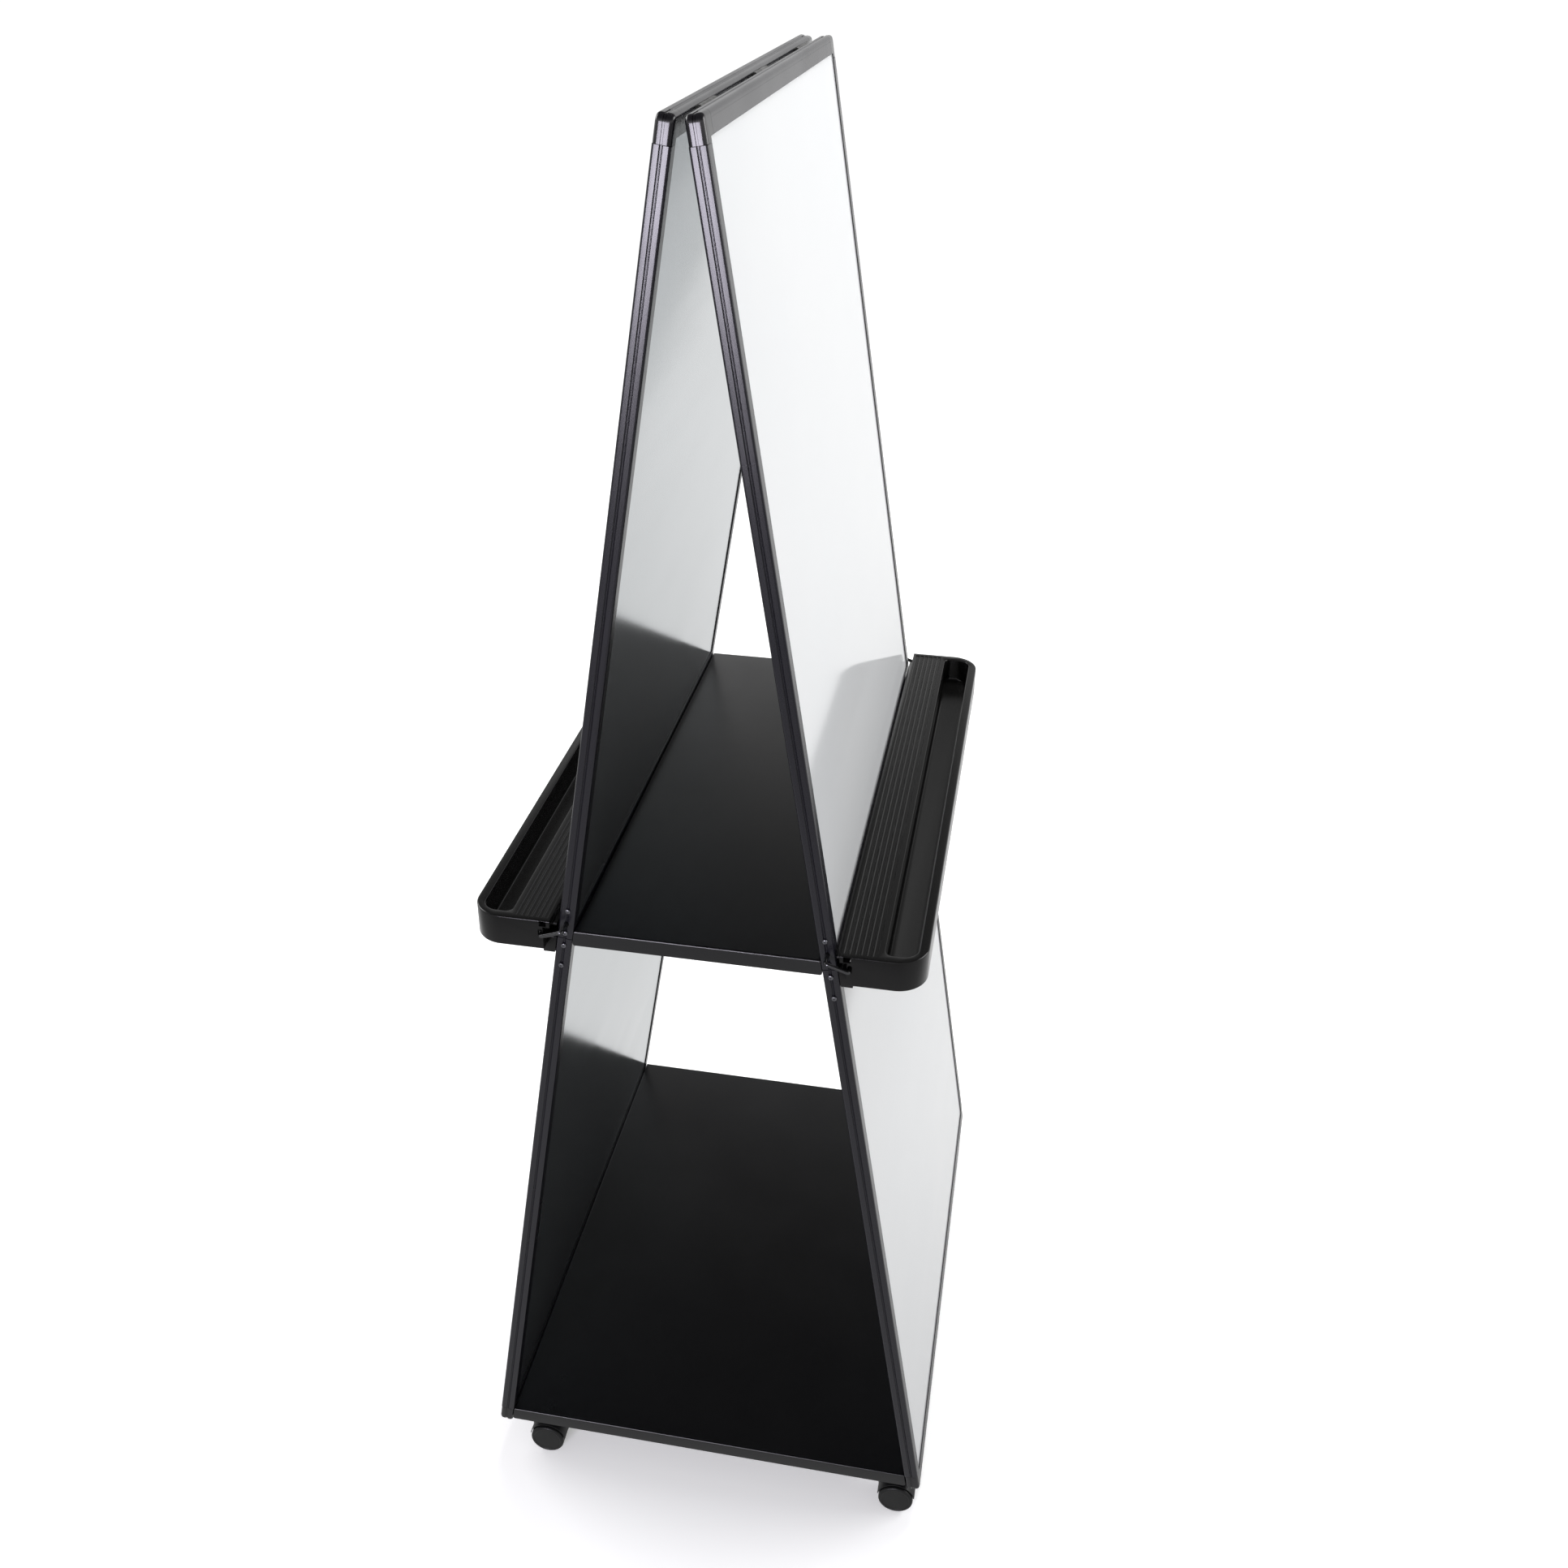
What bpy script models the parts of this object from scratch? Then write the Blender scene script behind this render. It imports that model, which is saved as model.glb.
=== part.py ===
"""Mobile A-frame whiteboard: two leaning double-height boards, two steel shelves, two marker
trays and four twin-wheel casters. Metres, +Z up, X along the boards, the front board at -Y.
The origin is on the floor under the middle of the frame."""

import math

import bmesh
import bpy
from mathutils import Matrix, Vector

# Fits
GAP = 0.0003
OVERRUN = 0.002
WELD = 1e-6
EDGE_ROUND_STEPS = 2
EDGE_ROUND_SHARE = 0.5

# Boards and their frames
FRAME_WIDTH = 0.760
LOWER_LENGTH = 0.880
UPPER_LENGTH = 0.922
LEAN = math.radians(8.96)
APEX_GAP = 0.006
RAIL_DEPTH = 0.0185
SIDE_BEZEL = 0.017
CROSS_BEZEL = 0.022
LOBE_RADIUS = 0.004
VALLEY_WIDTH = 0.0044
VALLEY_DEPTH = 0.0012
VALLEY_SLOPE = 0.0004
STRIP_WIDTH = 0.0016
STRIP_RISE = 0.0006
LIP = 0.0012
OUTER_WALL = 0.0027
INNER_WALL = 0.0013
SIDE_WALL = 0.0025
CHAMBER_DEPTH = 0.0045
LOBE_STEPS = 2

# Corner caps
CAP_ARM = 0.027
CAP_RADIUS = 0.008
CAP_STEPS = 3
TENON_LENGTH = 0.020

# Splice bars, their screws and the wire stay's hole, measured from the joint along the leg
SPLICE_REACH = 0.054
SCREWS_BELOW = (0.0395, 0.0100)
SCREWS_ABOVE = (0.0080, 0.0395)
STAY_ABOVE = 0.021
SCREW_SHANK = 0.0016
SCREW_HEAD = 0.0032
SCREW_HEAD_RISE = 0.0018
SCREW_DOME_SHARE = 0.62
SCREW_SIDES = 10
STAY_HOLE = 0.0030

# Shelves
SHELF_RECESS = 0.001
SHELF_LIP = 0.020
SHEET = 0.0015
FOLD_RADIUS = 0.0012
LIP_CORNER = 0.0035
CORNER_STEPS = 3
BASE_LIP_RISE = 0.0055
MID_SHELF_RISE = 0.0120

# Bars that carry the casters under the base shelf
CROSSBAR_WIDTH = 0.042
CROSSBAR_SHEET = 0.002
CROSSBAR_END_CLEARANCE = 0.001

# Top hinges
HINGE_LENGTH = 0.068
HINGE_INSET = 0.113
LEAF_THICKNESS = 0.0012
LEAF_DROP = 0.0215
LEAF_KNUCKLE_CLEARANCE = 0.0008
KNUCKLE_RADIUS = 0.0031
KNUCKLE_DROP = 0.0038
KNUCKLES = 5
PIN_RADIUS = 0.0013
KNUCKLE_SIDES = 12

# Marker trays
TRAY_OVERHANG = 0.0145
TRAY_DEPTH = 0.0950
TRAY_HEIGHT = 0.040
TRAY_RISE = 0.0305
TRAY_STANDOFF = 0.0108
TRAY_WALL = 0.003
TRAY_CORNER = 0.022
TRAY_CORNER_STEPS = 5
TRAY_EDGE_ROUND = 0.0012
FLANGE_DEPTH = 0.005
FLANGE_HEIGHT = 0.009
CHANNEL_START = 0.0465
CHANNEL_WIDTH = 0.0370
CHANNEL_END = 0.0120
CHANNEL_CORNER = 0.011
CHANNEL_FLOOR = 0.0055
CHANNEL_STEPS = 4
GROOVES = 6
GROOVE_DEPTH = 0.0009
GROOVE_START = 0.0045
GROOVE_WIDTH = 0.0052
GROOVE_PITCH = 0.0066
GROOVE_END = 0.0065
NOTCH_START = 0.0015
NOTCH_WIDTH = 0.0085
NOTCH_HEIGHT = 0.0070
NOTCH_ROOF = 0.0011
NOTCH_REACH = 0.009
SLOT_PLACE = 0.0092
SLOT_LOW = 0.0195
SLOT_HIGH = 0.0262
SLOT_RADIUS = 0.0021
BOSS_RADIUS = 0.005
BOSS_PLACE = 0.020

# Tray brackets
BRACKET_WIDTH = 0.030
BRACKET_DROP = 0.013
BRACKET_RISE = 0.008
LEDGE_REACH = 0.030
LEDGE_THICKNESS = 0.006

# Wire stays between the legs and the trays
WIRE_RADIUS = 0.00175
WIRE_CLEARANCE = 0.0016
WIRE_BEND = 0.0035
WIRE_BEND_STEPS = 3
WIRE_GRIP = 0.0055
WIRE_TRAY_GRIP = 0.0065

# Casters
CASTER_HEIGHT = 0.0612
CASTER_INSET = 0.0255
CASTER_SETBACK = 0.0308
TRAIL = 0.0175
WHEEL_RADIUS = 0.024
WHEEL_OUTER = 0.0225
WHEEL_INNER = 0.0052
WHEEL_ROUND = 0.003
WHEEL_SIDES = 20
WHEEL_ROUND_STEPS = 2
HUB_RECESS_RADIUS = 0.0172
HUB_RECESS_DEPTH = 0.0008
AXLE_RADIUS = 0.003
HOOD_RADIUS = 0.027
HOOD_WALL = 0.0015
HOOD_HALF_WIDTH = 0.0185
HOOD_SKIRT = 0.002
HOOD_STEPS = 12
WEB_HALF_WIDTH = 0.0045
HUB_RADIUS = 0.007
STEM_BOSS_RADIUS = 0.009
STEM_BOSS_LOW = 0.031
STEM_RADIUS = 0.005
STEM_RISE = 0.014
COLLAR_RADIUS = 0.0080
COLLAR_HEIGHT = 0.004
ROUND_SIDES = 16

# Sizes that follow from the ones above
HALF_WIDTH = FRAME_WIDTH / 2
LEG_LENGTH = LOWER_LENGTH + UPPER_LENGTH
LOWER_SCREWS = [LOWER_LENGTH - below for below in SCREWS_BELOW]
UPPER_SCREWS = [LOWER_LENGTH + above for above in SCREWS_ABOVE]
STAY_HEIGHT = LOWER_LENGTH + STAY_ABOVE
TRAY_LENGTH = FRAME_WIDTH + 2 * TRAY_OVERHANG
BRACKET_MIDDLE = HALF_WIDTH - GAP - BRACKET_WIDTH / 2
CASTER_X = HALF_WIDTH - CASTER_INSET
HINGE_SPACING = HALF_WIDTH - HINGE_INSET
SLOT_BOTTOM = OUTER_WALL + CHAMBER_DEPTH + INNER_WALL
BOARD_THICKNESS = RAIL_DEPTH - 2 * LIP - 2 * GAP
BOARD_EDGE = SLOT_BOTTOM + 2 * GAP
RAIL_SLAB = RAIL_DEPTH / math.cos(LEAN)
FOOT_SPREAD = APEX_GAP / 2 + RAIL_SLAB + LEG_LENGTH * math.sin(LEAN)
BASE_LIP_BOTTOM = CASTER_HEIGHT + GAP
FRAME_LIFT = BASE_LIP_BOTTOM - BASE_LIP_RISE
JOINT_HEIGHT = FRAME_LIFT + LOWER_LENGTH * math.cos(LEAN)
BASE_SHELF_TOP = BASE_LIP_BOTTOM + SHELF_LIP
MID_SHELF_TOP = JOINT_HEIGHT - RAIL_DEPTH * math.sin(LEAN) + MID_SHELF_RISE
TRAY_TOP = JOINT_HEIGHT + TRAY_RISE
TRAY_BOTTOM = TRAY_TOP - TRAY_HEIGHT

SIDES = (("front", Matrix.Identity(4)), ("back", Matrix.Rotation(math.pi, 4, "Z")))


def outer_face(height):
    """How far from the middle plane a board's outer face is at a height above the floor."""
    return FOOT_SPREAD - (height - FRAME_LIFT) * math.tan(LEAN)


def inner_face(height):
    return outer_face(height) - RAIL_SLAB


TRAY_INNER = outer_face(TRAY_TOP) + TRAY_STANDOFF
CASTER_Y = inner_face(BASE_LIP_BOTTOM) - CASTER_SETBACK


# Scene, materials and placing


def clear_scene():
    for obj in list(bpy.data.objects):
        bpy.data.objects.remove(obj, do_unlink=True)


def material(name, colour, roughness, metallic=0.0):
    made = bpy.data.materials.new(name)
    made.use_nodes = True
    shader = made.node_tree.nodes["Principled BSDF"]
    shader.inputs["Base Color"].default_value = (*colour, 1.0)
    shader.inputs["Roughness"].default_value = roughness
    shader.inputs["Metallic"].default_value = metallic
    return made


def empty(name, matrix, parent=None):
    made = bpy.data.objects.new(name, None)
    bpy.context.collection.objects.link(made)
    made.parent = parent
    made.matrix_local = matrix
    return made


def place(name, mesh, look, matrix=None, parent=None, smooth=True):
    """A named piece that holds this mesh, in its parent's frame."""
    made = bpy.data.objects.new(name, mesh)
    bpy.context.collection.objects.link(made)
    made.parent = parent
    made.matrix_local = matrix or Matrix.Identity(4)
    if not mesh.materials:
        mesh.materials.append(look)
    if smooth:
        mesh.shade_smooth()
        mesh.set_sharp_from_angle(angle=math.radians(32))
    return made


def mirrored(mesh):
    """The same piece for the other end of the frame."""
    bm = bmesh.new()
    bm.from_mesh(mesh)
    bmesh.ops.scale(bm, vec=(-1, 1, 1), verts=bm.verts)
    bmesh.ops.reverse_faces(bm, faces=bm.faces)
    made = bpy.data.meshes.new(mesh.name + "_mirrored")
    bm.to_mesh(made)
    bm.free()
    return made


# Shapes


def finished(bm, name="shape"):
    """The mesh of a closed shape, with doubles merged and its faces pointing out."""
    bmesh.ops.remove_doubles(bm, verts=bm.verts, dist=WELD)
    bmesh.ops.dissolve_degenerate(bm, edges=bm.edges, dist=WELD)
    bmesh.ops.recalc_face_normals(bm, faces=bm.faces)
    mesh = bpy.data.meshes.new(name)
    bm.to_mesh(mesh)
    bm.free()
    return mesh


def turned(centre, radius, start, end, steps):
    """Points on an arc from one angle to another, both in radians."""
    return [
        (
            centre[0] + radius * math.cos(start + (end - start) * i / steps),
            centre[1] + radius * math.sin(start + (end - start) * i / steps),
        )
        for i in range(steps + 1)
    ]


def round_over(bm, edges, radius):
    bmesh.ops.bevel(
        bm,
        geom=edges,
        offset=radius,
        segments=EDGE_ROUND_STEPS,
        affect="EDGES",
        profile=EDGE_ROUND_SHARE,
    )


def prism(outline, low, high, axis="Z", hole=None):
    """A closed outline drawn out along an axis, from low to high, with a hole right through."""
    spot = {
        "X": lambda p, t: (t, p[0], p[1]),
        "Y": lambda p, t: (p[0], t, p[1]),
        "Z": lambda p, t: (p[0], p[1], t),
    }[axis]
    bm = bmesh.new()
    rims = {low: [], high: []}
    for loop in filter(None, (outline, hole)):
        rings = {}
        for level in (low, high):
            rings[level] = [bm.verts.new(spot(point, level)) for point in loop]
            rims[level].append(rings[level])
        count = len(loop)
        for i in range(count):
            j = (i + 1) % count
            bm.faces.new((rings[low][i], rings[low][j], rings[high][j], rings[high][i]))
    for loops in rims.values():
        if hole is None:
            bm.faces.new(loops[0])
            continue
        edges = []
        for loop in loops:
            edges += [bm.edges.get((a, b)) for a, b in zip(loop, loop[1:] + loop[:1])]
        bmesh.ops.triangle_fill(bm, edges=edges, use_beauty=True)
    return finished(bm)


def block(low, high):
    return prism(
        ((low[0], low[1]), (high[0], low[1]), (high[0], high[1]), (low[0], high[1])),
        low[2],
        high[2],
    )


def blocks(pairs):
    """Several separate blocks in one mesh, for cutting them all at once."""
    bm = bmesh.new()
    for low, high in pairs:
        bm.from_mesh(block(low, high))
    return finished(bm)


def rod(centre, radius, low, high, axis, sides=ROUND_SIDES):
    circle = turned(centre, radius, 0, math.tau, sides)[:-1]
    return prism(circle, low, high, axis)


def lathed(profile, sides, axis="X", flat_down=False):
    """A closed profile of (along, radius) points turned about an axis. With a flat side down,
    its sides touch the true circle at their middles."""
    half_side = math.pi / sides
    phase = half_side if flat_down else 0.0
    spread = 1 / math.cos(half_side) if flat_down else 1.0
    bm = bmesh.new()
    rings = []
    for along, radius in profile:
        ring = []
        for i in range(sides):
            angle = math.tau * i / sides - math.pi / 2 + phase
            across = (radius * spread * math.cos(angle), radius * spread * math.sin(angle))
            point = (along, *across) if axis == "X" else (*across, along)
            ring.append(bm.verts.new(point))
        rings.append(ring)
    for first, second in zip(rings, rings[1:]):
        for i in range(sides):
            j = (i + 1) % sides
            bm.faces.new((first[i], first[j], second[j], second[i]))
    bm.faces.new(rings[0])
    bm.faces.new(rings[-1])
    return finished(bm)


def moved(mesh, matrix):
    mesh.transform(matrix)
    return mesh


def carved(base, adds=(), cuts=()):
    """The base with these meshes joined on and then those cut out."""
    collection = bpy.context.collection
    body = bpy.data.objects.new("body", base)
    collection.objects.link(body)
    tools = []
    for operation, meshes in (("UNION", adds), ("DIFFERENCE", cuts)):
        for mesh in meshes:
            tool = bpy.data.objects.new("tool", mesh)
            collection.objects.link(tool)
            tool.hide_render = True
            tool.display_type = "WIRE"
            step = body.modifiers.new(operation.lower(), "BOOLEAN")
            step.operation = operation
            step.solver = "EXACT"
            step.object = tool
            tools.append(tool)
    graph = bpy.context.evaluated_depsgraph_get()
    made = bpy.data.meshes.new_from_object(body.evaluated_get(graph))
    for obj in [body, *tools]:
        bpy.data.objects.remove(obj, do_unlink=True)
    bm = bmesh.new()
    bm.from_mesh(made)
    bmesh.ops.remove_doubles(bm, verts=bm.verts, dist=WELD)
    bmesh.ops.dissolve_degenerate(bm, edges=bm.edges, dist=WELD)
    bmesh.ops.dissolve_limit(
        bm, angle_limit=math.radians(0.05), verts=bm.verts, edges=bm.edges
    )
    bm.to_mesh(made)
    bm.free()
    made.materials.clear()
    return made


# Rails


def rail_profile(bezel):
    """The rail's section: (distance in from the frame's edge, depth behind the outer face)."""
    middle = RAIL_DEPTH / 2
    valley = VALLEY_WIDTH / 2
    strip = STRIP_WIDTH / 2
    outer_half = [
        (bezel, 0.0),
        *turned((LOBE_RADIUS, LOBE_RADIUS), LOBE_RADIUS, 1.5 * math.pi, math.pi, LOBE_STEPS),
        (0.0, middle - valley),
        (VALLEY_DEPTH, middle - valley + VALLEY_SLOPE),
        (VALLEY_DEPTH, middle - strip),
        (STRIP_RISE, middle - strip),
    ]
    inner_half = [(inset, RAIL_DEPTH - depth) for inset, depth in reversed(outer_half)]
    slot = [
        (bezel, RAIL_DEPTH - LIP),
        (SLOT_BOTTOM, RAIL_DEPTH - LIP),
        (SLOT_BOTTOM, LIP),
        (bezel, LIP),
    ]
    return outer_half + inner_half + slot


def chamber(clearance=0.0):
    """The hollow inside a rail, or what slides into it with some clearance."""
    near = OUTER_WALL + clearance
    far = OUTER_WALL + CHAMBER_DEPTH - clearance
    low = SIDE_WALL + clearance
    high = RAIL_DEPTH - SIDE_WALL - clearance
    return [(near, low), (far, low), (far, high), (near, high)]


def rail(bezel, length):
    return prism(rail_profile(bezel), 0, length, hole=chamber())


def on_centre_line(height, radius, sides=SCREW_SIDES):
    """A cutter through a side rail's outer wall at this height along it."""
    return rod(
        (RAIL_DEPTH / 2, height),
        radius,
        -OVERRUN,
        OUTER_WALL + INNER_WALL,
        "X",
        sides,
    )


def side_rail(foot, length, screws, stay=None):
    """A side rail that starts this far up the leg, drilled for its screws and the wire stay."""
    holes = [on_centre_line(height - foot, SCREW_SHANK + GAP) for height in screws]
    if stay:
        holes.append(on_centre_line(stay - foot, STAY_HOLE))
    return carved(rail(SIDE_BEZEL, length), cuts=holes)


def corner_cap():
    """A moulded corner at the origin: one arm runs along +X and the other down -Z."""
    side = rail_profile(SIDE_BEZEL)
    cross = rail_profile(CROSS_BEZEL)
    stations = [[(inset, -CAP_ARM, depth) for inset, depth in side]]
    for step in range(CAP_STEPS + 1):
        angle = math.pi - step * math.pi / 2 / CAP_STEPS
        ring = []
        for (inset, depth), (cross_inset, _) in zip(side, cross):
            if inset < CAP_RADIUS:
                reach = CAP_RADIUS - inset
                x = CAP_RADIUS + reach * math.cos(angle)
                z = -CAP_RADIUS + reach * math.sin(angle)
            else:
                x = inset
                z = -cross_inset
            ring.append((x, z, depth))
        stations.append(ring)
    stations.append([(CAP_ARM, -inset, depth) for inset, depth in cross])
    bm = bmesh.new()
    rings = [[bm.verts.new((x, depth, z)) for x, z, depth in ring] for ring in stations]
    count = len(side)
    for first, second in zip(rings, rings[1:]):
        for i in range(count):
            j = (i + 1) % count
            corners = (first[i], first[j], second[j], second[i])
            bm.faces.new(corners)
    bm.faces.new(rings[0])
    bm.faces.new(rings[-1])
    shell = finished(bm)
    plug = chamber(GAP)
    down = prism(plug, -CAP_ARM - TENON_LENGTH, -CAP_ARM + OVERRUN)
    turn = Matrix(((0, 0, 1, 0), (0, 1, 0, 0), (-1, 0, 0, 0), (0, 0, 0, 1)))
    along = moved(prism(plug, CAP_ARM - OVERRUN, CAP_ARM + TENON_LENGTH), turn)
    return carved(shell, adds=[down, along])


def board(length):
    return block(
        (-HALF_WIDTH + BOARD_EDGE, LIP + GAP, BOARD_EDGE),
        (HALF_WIDTH - BOARD_EDGE, LIP + GAP + BOARD_THICKNESS, length - BOARD_EDGE),
    )


def screw(height):
    """A dome-headed screw in the splice bar, its head outside the rail."""
    head = SCREW_HEAD
    profile = [
        (-GAP - SCREW_HEAD_RISE, head * SCREW_DOME_SHARE),
        (-GAP - SCREW_HEAD_RISE / 2, head),
        (-GAP, head),
        (-GAP, SCREW_SHANK),
        (OUTER_WALL + CHAMBER_DEPTH / 2, SCREW_SHANK),
    ]
    return moved(
        lathed(profile, SCREW_SIDES),
        Matrix.Translation((0, RAIL_DEPTH / 2, height)),
    )


def splice_bar():
    """The steel bar inside a leg that joins its two halves, with its four screws."""
    bar = prism(chamber(GAP), LOWER_LENGTH - SPLICE_REACH, LOWER_LENGTH + SPLICE_REACH)
    hole = rod((RAIL_DEPTH / 2, STAY_HEIGHT), STAY_HOLE, 0, SLOT_BOTTOM, "X", SCREW_SIDES)
    drilled = carved(bar, cuts=[hole])
    return carved(drilled, adds=[screw(height) for height in LOWER_SCREWS + UPPER_SCREWS])


# Where a rail, a cap or a bar goes in a board's own frame: X across, Y into the frame, Z up
LEFT_EDGE = Matrix.Translation((-HALF_WIDTH, 0, 0))
RIGHT_EDGE = Matrix.Translation((HALF_WIDTH, RAIL_DEPTH, 0)) @ Matrix.Rotation(math.pi, 4, "Z")
HANG_DOWN = Matrix(((0, 0, 1, 0), (0, 1, 0, 0), (-1, 0, 0, 0), (0, 0, 0, 1)))
STAND_UP = Matrix(((0, 0, -1, 0), (0, 1, 0, 0), (1, 0, 0, 0), (0, 0, 0, 1)))


def build_frames(looks):
    """Both leaning boards: rails, caps, writing panels and splice bars."""
    span = FRAME_WIDTH - 2 * CAP_ARM - 2 * GAP
    butt_span = FRAME_WIDTH - 2 * SIDE_BEZEL - 2 * GAP
    lower_side = LOWER_LENGTH - CAP_ARM - 2 * GAP
    upper_side = UPPER_LENGTH - CAP_ARM - 2 * GAP
    lower_foot = CAP_ARM + GAP
    upper_foot = LOWER_LENGTH + GAP
    lower_rail = side_rail(lower_foot, lower_side, LOWER_SCREWS)
    upper_rail = side_rail(upper_foot, upper_side, UPPER_SCREWS, STAY_HEIGHT)
    capped = rail(CROSS_BEZEL, span)
    butted = rail(CROSS_BEZEL, butt_span)
    lower_board = board(LOWER_LENGTH)
    upper_board = board(UPPER_LENGTH)
    cap = corner_cap()
    splice = splice_bar()
    flip = Matrix.Translation((0, RAIL_DEPTH, 0)) @ Matrix.Rotation(math.pi, 4, "X")
    for side, turn in SIDES:
        lean = Matrix.Translation((0, -FOOT_SPREAD, FRAME_LIFT)) @ Matrix.Rotation(-LEAN, 4, "X")
        stand = empty(side + "_lean", turn @ lean)
        ends = (("left", LEFT_EDGE), ("right", RIGHT_EDGE))
        if side == "back":
            ends = (("left", RIGHT_EDGE), ("right", LEFT_EDGE))

        def put(name, mesh, look, matrix):
            return place(f"{side}_{name}", mesh, looks[look], matrix, stand)

        def up(height):
            return Matrix.Translation((0, 0, height))

        for end, edge in ends:
            put(f"lower_side_rail_{end}", lower_rail, "frame", edge @ up(lower_foot))
            put(f"upper_side_rail_{end}", upper_rail, "frame", edge @ up(upper_foot))
            put(f"top_corner_{end}", cap, "cap", up(LEG_LENGTH) @ edge)
            put(f"bottom_corner_{end}", cap, "cap", edge @ flip)
            put(f"splice_bar_{end}", splice, "steel", edge)
        across = -HALF_WIDTH + CAP_ARM + GAP
        butt = -HALF_WIDTH + SIDE_BEZEL + GAP
        top = Matrix.Translation((across, 0, LEG_LENGTH)) @ HANG_DOWN
        sill = Matrix.Translation((butt, 0, LOWER_LENGTH - GAP)) @ HANG_DOWN
        chair = Matrix.Translation((-butt, 0, LOWER_LENGTH + GAP)) @ STAND_UP
        foot = Matrix.Translation((-across, 0, 0)) @ STAND_UP
        put("top_rail", capped, "frame", top)
        put("lower_head_rail", butted, "frame", sill)
        put("upper_foot_rail", butted, "frame", chair)
        put("bottom_rail", capped, "frame", foot)
        put("lower_board", lower_board, "board", Matrix.Identity(4))
        put("upper_board", upper_board, "board", up(LOWER_LENGTH))


# Shelves


def shelf(top):
    """A steel shelf with folded-down lips. Its long lips lean with the boards."""
    bottom = top - SHELF_LIP
    half = HALF_WIDTH - SHELF_RECESS
    fit = GAP / math.cos(LEAN)
    wide_top = inner_face(top) - fit
    wide_bottom = inner_face(bottom) - fit
    corner_y = wide_bottom - LIP_CORNER * (math.tan(LEAN) + 1 / math.cos(LEAN))
    corner = (corner_y, bottom + LIP_CORNER)
    right = [
        *turned(corner, LIP_CORNER, -math.pi / 2, LEAN, CORNER_STEPS),
        (wide_top, top),
    ]
    left = [(-y, z) for y, z in reversed(right)]
    bm = bmesh.new()
    bm.from_mesh(prism(right + left, -half, half, "X"))
    fold = [
        edge
        for edge in bm.edges
        if all(abs(vert.co.z - top) < WELD for vert in edge.verts)
    ]
    round_over(bm, fold, FOLD_RADIUS)
    folded = finished(bm)
    sheet = SHEET / math.cos(LEAN)
    inside = [
        (wide_bottom + OVERRUN * math.tan(LEAN) - sheet, bottom - OVERRUN),
        (wide_top + SHEET * math.tan(LEAN) - sheet, top - SHEET),
    ]
    inside += [(-y, z) for y, z in reversed(inside)]
    hollow = prism(inside, -half + SHEET, half - SHEET, "X")
    trims = []
    for sign in (-1, 1):
        near = sign * (wide_top - sheet - OVERRUN)
        far = sign * (wide_bottom + OVERRUN)
        trims.append(
            (
                (-half + SHEET, min(near, far), bottom - OVERRUN),
                (half - SHEET, max(near, far), bottom + LIP_CORNER),
            )
        )
    return carved(folded, cuts=[hollow, blocks(trims)])


def crossbar():
    """The channel under one end of the base shelf, with a hole for each caster's stem."""
    web = BASE_LIP_BOTTOM
    roof = BASE_SHELF_TOP - SHEET - GAP
    half = CROSSBAR_WIDTH / 2
    wall = CROSSBAR_SHEET
    reach = inner_face(roof) - SHEET / math.cos(LEAN) - CROSSBAR_END_CLEARANCE
    outline = [
        (-half, web),
        (half, web),
        (half, roof),
        (half - wall, roof),
        (half - wall, web + wall),
        (-half + wall, web + wall),
        (-half + wall, roof),
        (-half, roof),
    ]
    channel = prism(outline, -reach, reach, "Y")
    holes = [
        rod((0, sign * CASTER_Y), STEM_RADIUS + GAP, web - OVERRUN, web + wall + OVERRUN, "Z")
        for sign in (-1, 1)
    ]
    return carved(channel, cuts=holes)


def build_shelves(looks):
    place("mid_shelf", shelf(MID_SHELF_TOP), looks["shelf"])
    place("base_shelf", shelf(BASE_SHELF_TOP), looks["shelf"])
    bar = crossbar()
    for end, sign in (("left", -1), ("right", 1)):
        spot = Matrix.Translation((sign * CASTER_X, 0, 0))
        place(f"caster_bar_{end}", bar, looks["shelf"], spot)


# Hinges between the two top rails


def hinge_leaf(own, with_pin):
    """One leaf in a board's frame, with the knuckles that are its own, centred on x = 0."""
    shift = Matrix.Translation((0, -FOOT_SPREAD, FRAME_LIFT)) @ Matrix.Rotation(-LEAN, 4, "X")
    height = FRAME_LIFT + LEG_LENGTH * math.cos(LEAN) - RAIL_DEPTH * math.sin(LEAN) - KNUCKLE_DROP
    axis = shift.inverted() @ Vector((0, 0, height))
    half = HINGE_LENGTH / 2
    near = RAIL_DEPTH + GAP
    far = near + LEAF_THICKNESS
    low = LEG_LENGTH - LEAF_DROP
    high = axis.z - KNUCKLE_RADIUS - LEAF_KNUCKLE_CLEARANCE
    plate = block((-half, near, low), (half, far, high))
    pitch = HINGE_LENGTH / KNUCKLES
    adds = []
    cuts = []
    for i in range(KNUCKLES):
        start = -half + i * pitch + (GAP / 2 if i else 0)
        end = -half + (i + 1) * pitch - (GAP / 2 if i < KNUCKLES - 1 else 0)
        barrel = rod((axis.y, axis.z), KNUCKLE_RADIUS, start, end, "X", KNUCKLE_SIDES)
        if i in own:
            adds.append(block((start, near, high - OVERRUN), (end, far, axis.z)))
            adds.append(barrel)
    pin = (axis.y, axis.z)
    if with_pin:
        adds.append(rod(pin, PIN_RADIUS, -half + pitch / 2, half - pitch / 2, "X", KNUCKLE_SIDES))
    else:
        cuts.append(rod(pin, PIN_RADIUS + GAP, -half, half, "X", KNUCKLE_SIDES))
    return carved(plate, adds, cuts)


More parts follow.
